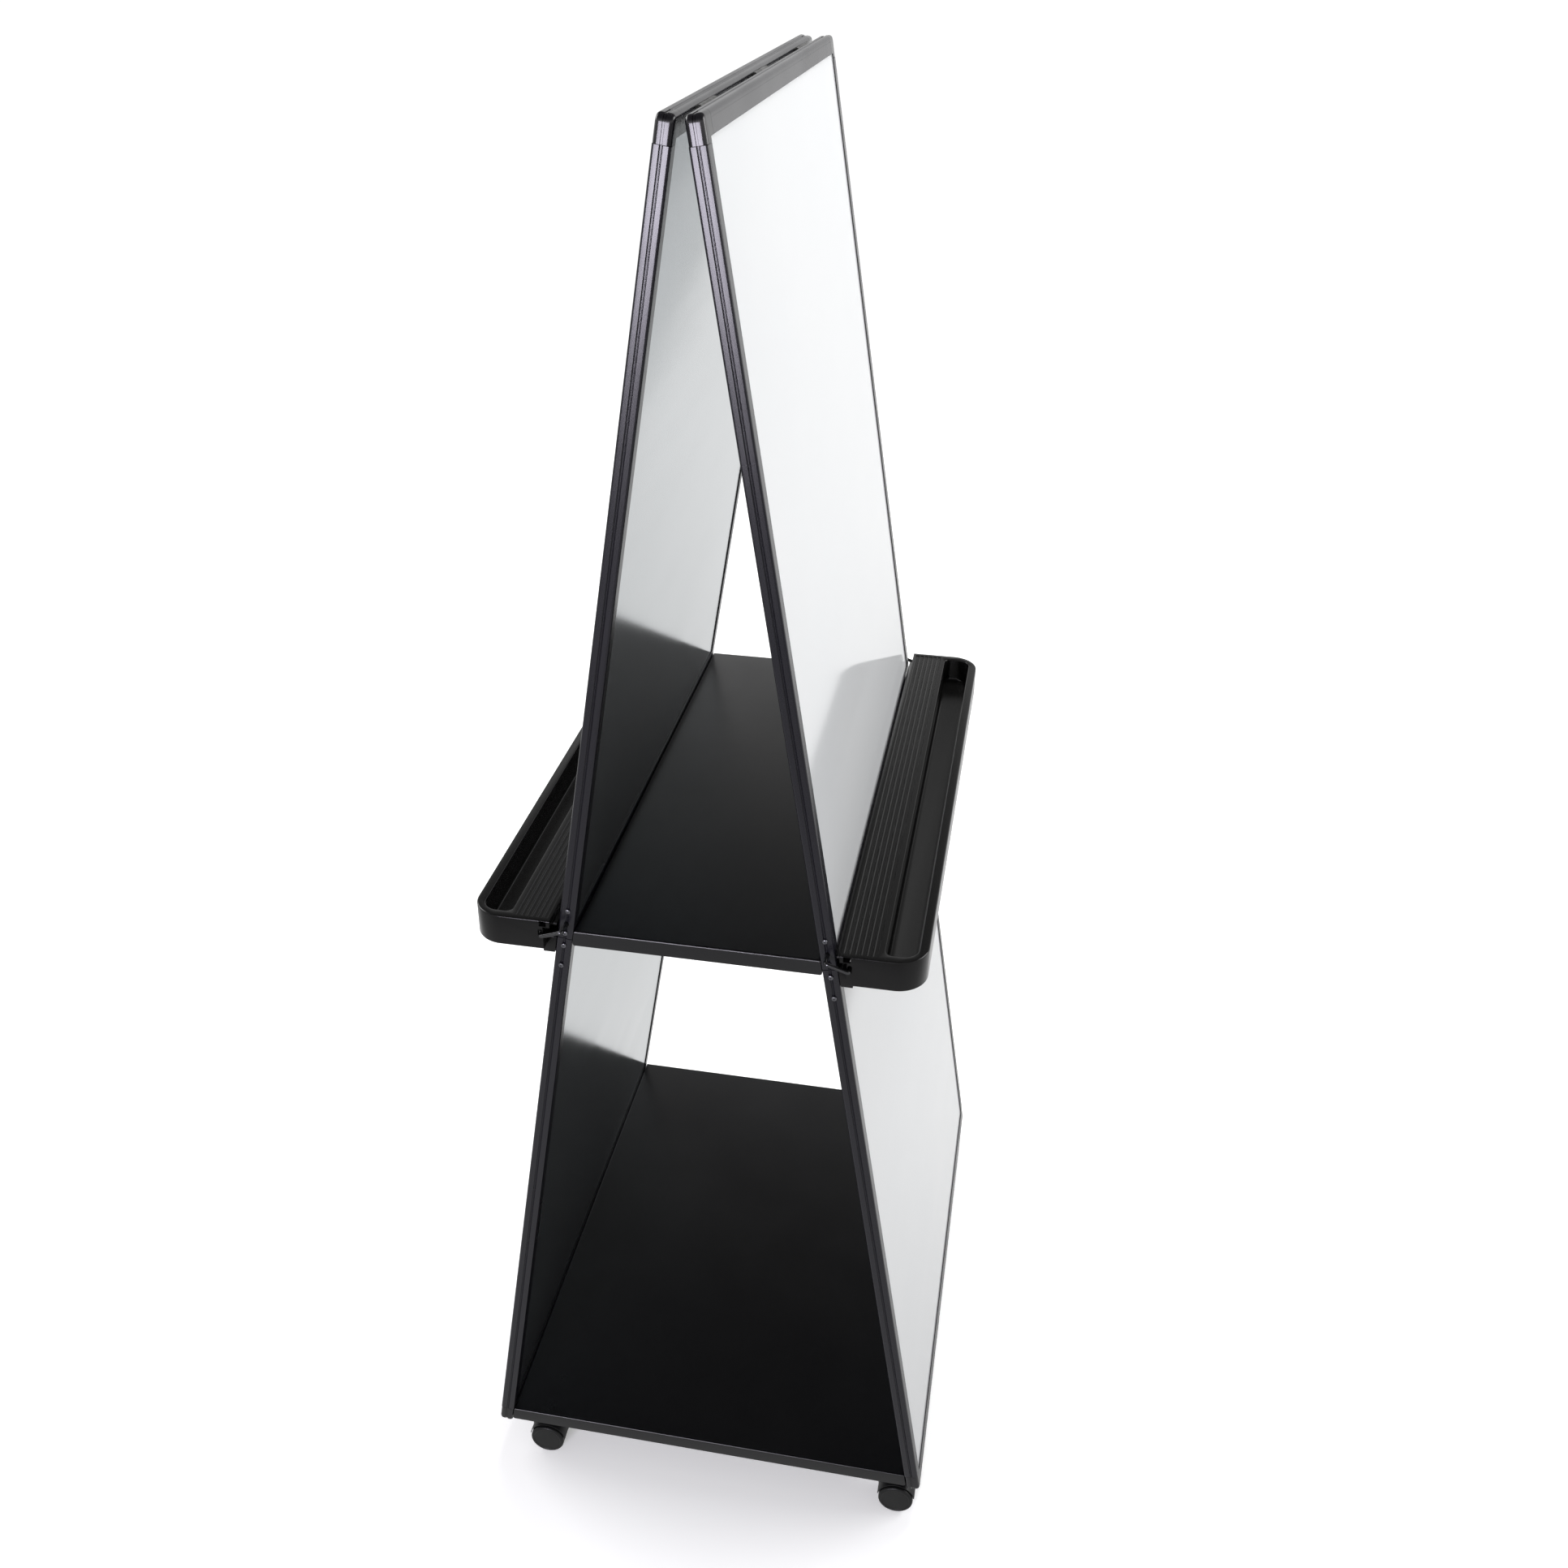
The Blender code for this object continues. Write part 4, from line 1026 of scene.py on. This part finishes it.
def channel_block(name, grown, bottom, top, foot=0.0):
    """The channel's own outline, grown by the same amount all round."""
    (left, near), (right, far) = CHANNEL
    low = (left - grown, near - grown, bottom)
    high = (right + grown, far + grown, top)
    radii = {side: radius + grown for side, radius in CHANNEL_CORNERS.items()}
    return rounded_block(name, low, high, radii, foot)


# %% [markdown]
# From below, the moulding is a shell of even thickness. One cutter hollows it, but leaves a wall
# round the channel. Another clears the space under the channel's floor, and a third thins the
# edge of the deck next to the board. At the ends that edge is cut back further, which makes room
# for the brackets.

# %% Cutters for the underside and the channel
CUT_BELOW = -0.003
CHANNEL_FOOT = 0.004
UNDER_SIDE = 0.002
BEHIND_END = 0.055
RECESS_LENGTH = 0.050
RECESS_ROOF = 0.009


def tray_cutters():
    inner = FLANGE_DEPTH + TRAY_WALL
    end = TRAY_HALF - TRAY_WALL
    hollow = rounded_block(
        "hollow", (-end, inner, CUT_BELOW), (end, TRAY_DEPTH - TRAY_WALL, DECK_UNDERSIDE),
        {"far": CORNER - TRAY_WALL}, steps=CORNER_STEPS,
    )
    carve(hollow, channel_block("keep", TRAY_WALL, 2 * CUT_BELOW, TRAY_HEIGHT + OVERRUN))
    under = channel_block("under", UNDER_SIDE, CUT_BELOW, CHANNEL_FLOOR - TRAY_WALL)
    edge_end = TRAY_HALF - BEHIND_END
    behind = block(
        "behind_deck",
        (-edge_end, DECK_EDGE + TRAY_WALL, CUT_BELOW), (edge_end, inner + OVERLAP, DECK_UNDERSIDE),
    )
    recess = TRAY_HALF - RECESS_LENGTH
    past = TRAY_HALF + OVERRUN
    steps = [
        block(
            "step",
            (low, DECK_EDGE - OVERRUN, CUT_BELOW), (high, FLANGE_DEPTH, TRAY_HEIGHT - RECESS_ROOF),
        )
        for low, high in ((-past, -recess), (recess, past))
    ]
    trough = channel_block("trough", 0, CHANNEL_FLOOR, TRAY_HEIGHT + OVERRUN, CHANNEL_FOOT)
    return [hollow, under, behind, *steps, trough]


# %% Cutters for the deck and the ends
GROOVES = 6
GROOVE_PITCH = 0.0066
GROOVE_START = 0.0040
GROOVE_HALF = 0.0018
GROOVE_DEPTH = 0.0009
GROOVE_END = 0.0075
END_CUT = 0.009
NOTCH = ((0.0015, 0.0319), (0.0100, 0.0389))
WIRE_SLOT = ((0.0066, 0.0170), (0.0118, 0.0283))
WIRE_SLOT_ROUND = 0.0025


def deck_grooves():
    """Shallow grooves along the deck, with sides that slope at 45 degrees."""
    half = TRAY_HALF - GROOVE_END
    low, high = TRAY_HEIGHT - GROOVE_DEPTH, TRAY_HEIGHT + GROOVE_DEPTH
    wider = (1 + 2 * GROOVE_DEPTH / half, 1 + 2 * GROOVE_DEPTH / GROOVE_HALF, 1)
    cutters = []
    for i in range(GROOVES):
        middle = GROOVE_START + i * GROOVE_PITCH
        groove = block(
            "groove", (-half, middle - GROOVE_HALF, low), (half, middle + GROOVE_HALF, high)
        )
        opened(groove)
        pick(groove, "verts", lambda vert: vert.co.z > TRAY_HEIGHT)
        bpy.ops.transform.resize(value=wider, center_override=(0, middle, 0))
        cutters.append(closed(groove))
    return cutters


def end_openings():
    """The notch under the deck's inner corner and the slot for the wire, at both ends."""
    cutters = []
    for sign in (-1, 1):
        start, end = sorted((sign * (TRAY_HALF - END_CUT), sign * (TRAY_HALF + OVERRUN)))
        for name, ((near, low), (far, high)) in (("notch", NOTCH), ("wire_slot", WIRE_SLOT)):
            cutters.append(block(name, (start, near, low), (end, far, high)))
        slot = cutters[-1]
        opened(slot)
        pick(slot, "edges", lambda edge: runs(edge, 0))
        bevel(WIRE_SLOT_ROUND, 6)
        closed(slot)
    return cutters


# %% [markdown]
# The channel's upper rim is rounded once the channel exists, and the grooves and end openings
# come after it, so that they stay crisp. Two bosses stand under the deck for the bracket's
# screws. A narrow lip behind the deck closes the gap to the board, which reads as black.

# %% Model the tray
TOP_RIM = 0.0018
FOOT_RIM = 0.0016
CHANNEL_RIM = 0.0012
BOSS = (0.3647, 0.020)
BOSS_RADIUS = 0.005
LIP_END = 0.012
LIP_SECTION = ((-0.0075, 0.0275), (DECK_EDGE + OVERLAP, 0.0300))
LIP_SOFT = 0.0006


def in_channel(place):
    (left, near), (right, far) = CHANNEL
    reach = 0.001
    return left - reach < place.x < right + reach and near - reach < place.y < far + reach


def tray_body(name):
    piece = block(name, (-TRAY_HALF, DECK_EDGE, 0), (TRAY_HALF, TRAY_DEPTH, TRAY_HEIGHT))
    opened(piece)
    pick(piece, "edges", lambda edge: runs(edge, 2) and same(spot(edge).y, TRAY_DEPTH))
    bevel(CORNER, CORNER_STEPS)
    for height, radius in ((TRAY_HEIGHT, TOP_RIM), (0.0, FOOT_RIM)):
        pick(
            piece, "edges",
            lambda edge: same(spot(edge).z, height)
            and any(abs(face.normal.z) < 0.1 and face.normal.y > -0.5 for face in edge.link_faces),
        )
        bevel(radius, 4)
    return closed(piece)


def tray(name):
    piece = carve(tray_body(name), *tray_cutters())
    opened(piece)
    pick(
        piece, "edges",
        lambda edge: all(same(vert.co.z, TRAY_HEIGHT) for vert in edge.verts)
        and any(abs(face.normal.z) < 0.3 and in_channel(spot(face)) for face in edge.link_faces),
    )
    bevel(CHANNEL_RIM, 3)
    closed(piece)
    carve(piece, *deck_grooves(), *end_openings())
    x, y = BOSS
    boss_top = DECK_UNDERSIDE + OVERLAP
    bosses = [
        round_bar("boss", (sign * x, y, 0), (sign * x, y, boss_top), BOSS_RADIUS, 24)
        for sign in (-1, 1)
    ]
    end = TRAY_HALF - LIP_END
    (near, low), (far, high) = LIP_SECTION
    lip = soften(block("lip", (-end, near, low), (end, far, high)), LIP_SOFT)
    return joined(name, [piece, lip, *bosses])


tray_pattern = told(shaded(tray("tray_pattern"), 30))
for side, turn in (("front", HALF_TURN), ("back", Matrix.Identity(4))):
    seat = turn @ shift(0, TRAY_INNER, TRAY_BOTTOM)
    fitted(copy_to(tray_pattern, side + "_tray_moulding", seat), "tray", side + "_tray")
gone(tray_pattern)

# %% [markdown]
# ## Brackets
# A bracket is screwed to each leg and holds the tray from below with a ledge. It is a block
# whose outer face is pushed out level by level, to make the foot and the ledge. Its back is then
# moved level by level too, so that it follows the lean of the leg.

# %% Model one bracket, for the back board's left end
TRAY_SIDE = TRAY_INNER + FLANGE_DEPTH - GAP
BRACKET_WIDTH = 0.030
BRACKET_FOOT = TRAY_BOTTOM - 0.014
BRACKET_TOP = TRAY_BOTTOM + 0.008
BRACKET_SOFT = 0.0007
FOOT_SIDE = TRAY_INNER + 0.012
LEDGE_SIDE = TRAY_INNER + 0.030
LEDGE = TRAY_BOTTOM - GAP
SHOULDER = LEDGE - 0.006
BACK_DEPTH = 0.004


def bracket(name):
    left = -HALF_WIDTH + GAP
    back = outer_face(BRACKET_FOOT) + LEANING_GAP
    piece = block(name, (left, back, BRACKET_FOOT), (left + BRACKET_WIDTH, TRAY_SIDE, BRACKET_TOP))
    opened(piece)
    for height in (SHOULDER, LEDGE):
        score((0, 0, height), (0, 0, 1))
    pushes = ((BRACKET_FOOT, TRAY_SIDE, FOOT_SIDE), (SHOULDER, FOOT_SIDE, LEDGE_SIDE))
    for bottom, start, end in pushes:
        pick(
            piece, "faces",
            lambda face: face.normal.y > 0.9
            and same(spot(face).y, start)
            and bottom < spot(face).z < LEDGE,
        )
        pull((0, end - start, 0))
    for height in (BRACKET_FOOT, SHOULDER, LEDGE, BRACKET_TOP):
        pick(
            piece, "verts",
            lambda vert: vert.co.y < TRAY_SIDE - BACK_DEPTH and same(vert.co.z, height),
        )
        bpy.ops.transform.translate(value=(0, outer_face(height) - outer_face(BRACKET_FOOT), 0))
    bpy.ops.mesh.select_all(action="SELECT")
    bpy.ops.mesh.dissolve_limited(angle_limit=math.radians(0.5))
    return soften(closed(piece), BRACKET_SOFT)


arm = told(shaded(bracket("bracket_pattern")))

# %% [markdown]
# ## Wire stays
# A bent wire runs from a hole in the leg's edge to a slot in the tray's end, so the tray can't
# tip. It is one round face that is pulled straight and spun round each bend. The operator's spin
# turns the other way from the usual hand rule, so its angle has a minus sign.

# %% Model one stay, for the same end
WIRE_RADIUS = 0.0024
WIRE_BEND = 0.0035
WIRE_IN_LEG = 0.0055
WIRE_IN_TRAY = 0.0065
WIRE_SLOT_Y = TRAY_INNER + 0.0092
WIRE_SLOT_Z = TRAY_BOTTOM + 0.0195
WIRE_CLEARANCE = 0.0001
WIRE_OUTSIDE = -TRAY_HALF - WIRE_CLEARANCE - WIRE_RADIUS


def stay_corners():
    z = FRAME_LIFT + STAY_HEIGHT * math.cos(LEAN) - MIDDLE * math.sin(LEAN)
    y = outer_face(z) - RAIL_SLAB / 2
    return [
        Vector((-HALF_WIDTH + WIRE_IN_LEG, y, z)),
        Vector((WIRE_OUTSIDE, y, z)),
        Vector((WIRE_OUTSIDE, WIRE_SLOT_Y, WIRE_SLOT_Z)),
        Vector((-TRAY_HALF + WIRE_IN_TRAY, WIRE_SLOT_Y, WIRE_SLOT_Z)),
    ]


def wire_stay(name):
    corners = stay_corners()
    ways = [(b - a).normalized() for a, b in zip(corners, corners[1:])]
    bpy.ops.object.select_all(action="DESELECT")
    bpy.ops.mesh.primitive_circle_add(
        vertices=20, radius=WIRE_RADIUS, fill_type="NGON", location=corners[0],
        rotation=ways[0].to_track_quat("Z", "Y").to_euler(),
    )
    piece = settled(name)
    opened(piece)
    here = corners[0]
    for corner, way, next_way in zip(corners[1:], ways, ways[1:]):
        stop = corner - way * WIRE_BEND
        pull(stop - here)
        centre = stop + next_way * WIRE_BEND
        bpy.ops.mesh.spin(steps=8, angle=-math.pi / 2, center=centre, axis=way.cross(next_way))
        here = corner + next_way * WIRE_BEND
    pull(corners[-1] - here)
    return closed(piece)


wire = told(shaded(wire_stay("wire_pattern"), 50))

# %% [markdown]
# Both were made for the back board's left end. Its right end mirrors them, and half a turn takes
# each pair to the front board, where left and right change places.

# %% Copy them to all four corners
FLIP_OVER = {"left": Matrix.Identity(4), "right": Matrix.Scale(-1, 4, (1, 0, 0))}
OTHER_END = {"left": "right", "right": "left"}
for end, mirror in FLIP_OVER.items():
    for side, turn in (("back", Matrix.Identity(4)), ("front", HALF_TURN)):
        name = end if side == "back" else OTHER_END[end]
        for pattern, kind, finish_name, slot in (
            (arm, "tray_bracket", "tray", "tray"),
            (wire, "tray_stay", "wire", "dark_steel"),
        ):
            target = f"{side}_{kind}_{name}"
            fitted(copy_to(pattern, target + "_part", turn @ mirror), finish_name, target)
gone(arm, wire)

# %% [markdown]
# ## Casters
# A caster has a nylon fork with a hood over both wheels, and two wheels on one axle. The hood
# is a drum cut off above the axle and hollowed from both sides, which leaves a thin roof and
# the web that carries the axle. Each wheel is a short cylinder with a rounded tread edge. Its
# face is inset twice for a shallow rim, and once more so that the disc inside stays flat.

# %% Sizes of a caster, about its stem on the floor
TRAIL = 0.0175
WHEEL_RADIUS = 0.024
HUB = Vector((0, -TRAIL, WHEEL_RADIUS))
HOOD_RADIUS = 0.0262
HOOD_SHELL = 0.0012
HOOD_HALF = 0.0185
HOOD_LINE = WHEEL_RADIUS + 0.004
WEB_HALF = 0.0045
STEM_BOSS = (0.031, 0.0612, 0.009)
STEMS = ((0.060, 0.0752, 0.005), (0.0638, 0.0678, 0.008))
FORK_SOFT = 0.0004
BOSS_SOFT = 0.0005
HUB_HALF = HOOD_HALF * 0.243
HUB_RADIUS = 0.007
BORE_RADIUS = 0.0033
AXLE_HALF = 0.0215
AXLE_RADIUS = 0.003
WHEEL_INNER = 0.0052
WHEEL_OUTER = 0.0225
TREAD_ROUND = 0.0030
INNER_ROUND = 0.0012
FACE_STEPS = ((0.0012, 0.0), (0.0008, -0.0005), (0.0120, 0.0001))
CASTER_X = HALF_WIDTH - 0.0255
CASTER_Y = inner_face(BASE_SHELF_TOP - SHELF_LIP) - 0.0308
print("caster stems at", round(CASTER_X, 4), round(CASTER_Y, 4))


# %% Model the fork
def across_hub(name, start, end, radius, sides):
    """A cylinder on the wheels' axis, between two places along it."""
    return round_bar(name, HUB + Vector((start, 0, 0)), HUB + Vector((end, 0, 0)), radius, sides)


def caster_fork(name):
    piece = across_hub(name, -HOOD_HALF, HOOD_HALF, HOOD_RADIUS, 72)
    opened(piece)
    score((0, 0, HOOD_LINE), (0, 0, -1), trim=True)
    closed(piece)
    well_radius = HOOD_RADIUS - HOOD_SHELL
    well_end = HOOD_HALF + OVERRUN
    for sign in (-1, 1):
        carve(piece, across_hub("well", sign * WEB_HALF, sign * well_end, well_radius, 72))
    soften(piece, FORK_SOFT)
    low, high, radius = STEM_BOSS
    boss = round_bar("stem_boss", (0, 0, low), (0, 0, high), radius, 40)
    carve(boss, across_hub("well", -well_end, well_end, well_radius, 72))
    parts = [piece, soften(boss, BOSS_SOFT)]
    for low, high, radius in STEMS:
        parts.append(soften(round_bar("stem", (0, 0, low), (0, 0, high), radius), FORK_SOFT))
    hub = across_hub("hub", -HUB_HALF, HUB_HALF, HUB_RADIUS, 32)
    carve(hub, across_hub("bore", -HOOD_HALF, HOOD_HALF, BORE_RADIUS, 32))
    return joined(name, [*parts, hub])


# %% Model the two wheels on their axle
def wheel(name, sign):
    inner, outer = sign * WHEEL_INNER, sign * WHEEL_OUTER
    piece = across_hub(name, inner, outer, WHEEL_RADIUS, 64)
    opened(piece)
    for x, radius, steps in ((outer, TREAD_ROUND, 6), (inner, INNER_ROUND, 3)):
        pick(piece, "edges", lambda edge: same(spot(edge).x, x) and not runs(edge, 0))
        bevel(radius, steps)
    pick(piece, "faces", lambda face: sign * face.normal.x > 0.99 and same(spot(face).x, outer))
    for inset, push in FACE_STEPS:
        bpy.ops.mesh.inset(thickness=inset, depth=push)
    return closed(piece)


def wheel_pair(name):
    axle = across_hub("axle", -AXLE_HALF, AXLE_HALF, AXLE_RADIUS, 24)
    return joined(name, [wheel(name, -1), wheel("other_wheel", 1), axle])


# %% Set four casters under the base shelf
fork = told(shaded(caster_fork("fork_pattern")))
wheels = told(shaded(wheel_pair("wheels_pattern")))
for side, y in (("front", -CASTER_Y), ("back", CASTER_Y)):
    for end, x in (("left", -CASTER_X), ("right", CASTER_X)):
        name = f"{side}_{end}_caster"
        stand_at = shift(x, y, 0)
        hood = copy_to(fork, name + "_fork_moulding", stand_at)
        fitted(hood, "hood", name + "_hood", name + "_fork")
        pair = copy_to(wheels, name + "_wheel_pair", stand_at)
        fitted(pair, "wheel", name + "_wheels", name + "_wheelset")
gone(fork, wheels)
print("pieces", len(PIECES), "triangles", sum(triangles(piece) for piece in PIECES))

# %% [markdown]
# ## Floor, air, lamps and camera
# A product picture has a white ground, yet the lamps have to stay at a plain level, or the white
# boards burn out. So the materials of the floor and the air ask Light Path what kind of ray they
# meet. All of their levels are greys that run through a few stops, made by one helper: a Map
# Range brings the value to 0 to 1, and a Color Ramp holds the stops.

# %% A grey that runs through a few stops
def levels(tree, value, stops):
    """Each stop is a place on the value's scale and the level there."""
    first, last = stops[0][0], stops[-1][0]
    span = node(tree, "ShaderNodeMapRange", Value=value, From_Min=first, From_Max=last)
    made = node(tree, "ShaderNodeValToRGB", Fac=span)
    made.color_ramp.interpolation = "EASE"
    while len(made.color_ramp.elements) < len(stops):
        made.color_ramp.elements.new(0.5)
    for element, (at, level) in zip(made.color_ramp.elements, stops):
        element.position = (at - first) / (last - first)
        element.color = (level, level, level, 1)
    return made


# %% [markdown]
# The camera sees a pale floor that grows lighter further away and still takes the shadow. What
# is glossy sees a run of greys along the room instead, darker at the left end, as a studio with
# one dark side gives. All other light meets a plain grey, so little of it is thrown back up.

# %% Floor
FLOOR_LIFT = ((1.0, 0.36), (5.0, 0.80))
FLOOR_IN_GLOSS = ((-3.2, 0.22), (-1.3, 0.47), (-0.6, 0.47), (0.6, 0.86), (1.4, 0.84), (4.0, 0.98))
bpy.ops.object.select_all(action="DESELECT")
bpy.ops.mesh.primitive_circle_add(vertices=96, radius=40, fill_type="NGON", location=(0, 0, 0))
floor = settled("studio_floor")
pale, tree, _ = material("pale_floor")
tree.nodes.clear()
seen = node(tree, "ShaderNodeLightPath").outputs
place = node(tree, "ShaderNodeTexCoord").outputs["Object"]
along = node(tree, "ShaderNodeSeparateXYZ", place).outputs["X"]
away = node(tree, "ShaderNodeVectorMath", place, mode="LENGTH")
dull = node(tree, "ShaderNodeBsdfDiffuse", Color=(0.50, 0.50, 0.50, 1))
bright = node(tree, "ShaderNodeBsdfDiffuse", Color=(0.95, 0.95, 0.95, 1))
lift = node(tree, "ShaderNodeEmission", Strength=levels(tree, away, FLOOR_LIFT))
both = node(tree, "ShaderNodeAddShader", bright, lift)
mirrored = node(tree, "ShaderNodeEmission", Strength=levels(tree, along, FLOOR_IN_GLOSS))
for_camera = node(tree, "ShaderNodeMixShader", seen["Is Camera Ray"], dull, both)
for_gloss = node(tree, "ShaderNodeMixShader", seen["Is Glossy Ray"], for_camera, mirrored)
node(tree, "ShaderNodeOutputMaterial", Surface=for_gloss)
floor.data.materials.append(pale)
print("floor material has", len(tree.nodes), "nodes")

# %% [markdown]
# The camera sees white air. In reflections the air is bright low down and dark overhead, and its
# light on the object is low and even.

# %% World
AIR_IN_GLOSS = ((0.28, 0.80), (0.55, 0.19), (0.75, 0.065))
AIR_LIGHT = 0.29
AIR_SEEN = 1.0
world = bpy.data.worlds.new("studio_air")
bpy.context.scene.world = world
world.use_nodes = True
tree = world.node_tree
tree.nodes.clear()
seen = node(tree, "ShaderNodeLightPath").outputs
way = node(tree, "ShaderNodeTexCoord").outputs["Generated"]
height = node(tree, "ShaderNodeSeparateXYZ", way).outputs["Z"]
reflected = node(
    tree, "ShaderNodeMath", seen["Is Glossy Ray"], seen["Is Transmission Ray"], mode="MAXIMUM"
)
in_gloss = levels(tree, height, AIR_IN_GLOSS)
soft = node(tree, "ShaderNodeMix", Factor=reflected, A=AIR_LIGHT, B=in_gloss)
level = node(tree, "ShaderNodeMix", Factor=seen["Is Camera Ray"], A=soft, B=AIR_SEEN)
air = node(tree, "ShaderNodeBackground", Color=(1, 1, 1, 1), Strength=level)
node(tree, "ShaderNodeOutputWorld", Surface=air)
print("world has", len(tree.nodes), "nodes")


# %% [markdown]
# One lamp high above the far end gives light from above. It isn't mirrored, so it leaves no
# bright patch on the shelves. Two wide lamps, one in front and one behind, light the two boards
# softly. A small one beyond the left end is mirrored in the flat edges of the legs, with a trace
# of violet, which shows the upper legs as long pale bands.

# %% Lamps
def lamp(name, place, aim, width, height, power, tint=(1, 1, 1), mirrored=True):
    bpy.ops.object.light_add(type="AREA", location=place)
    made = bpy.context.object
    made.name = name
    made.rotation_euler = (Vector(aim) - Vector(place)).to_track_quat("-Z", "Y").to_euler()
    made.data.shape = "RECTANGLE"
    made.data.size = width
    made.data.size_y = height
    made.data.energy = power
    made.data.color = tint
    made.visible_glossy = mirrored
    return made


lamp("far_high_lamp", (1.3, -0.3, 4.2), (0, 0, 1.0), 1.6, 1.6, 80, mirrored=False)
lamp("front_soft_lamp", (0.9, -3.3, 2.8), (0, -0.1, 1.2), 2.4, 2.2, 86)
lamp("back_soft_lamp", (0.9, 3.3, 3.1), (0, 0.1, 1.3), 2.4, 2.2, 75)
violet = (0.90, 0.86, 1.0)
lamp("leg_edge_lamp", (-3.26, 0.68, 1.42), (-0.38, 0, 1.75), 0.95, 0.97, 52, violet)

# %% [markdown]
# The camera stands high beyond the left end and looks down along the boards. Its place, angle,
# lens and shift were worked out from the real sizes and the picture's own corners, so the model
# fills the same frame.

# %% Camera
bpy.ops.object.camera_add(
    location=(-1.8217536, -0.3498933, 2.0266538),
    rotation=[math.radians(a) for a in (61.84454858, -0.16531496, -79.04060182)],
)
camera = bpy.context.object
camera.name = "studio_camera"
camera.data.sensor_width = 36
camera.data.lens = 36.4935
camera.data.shift_x = 0.0163
camera.data.shift_y = -0.04295
camera.data.clip_start = 0.05
camera.data.clip_end = 200
bpy.context.scene.camera = camera
bpy.context.scene.view_settings.view_transform = "Standard"
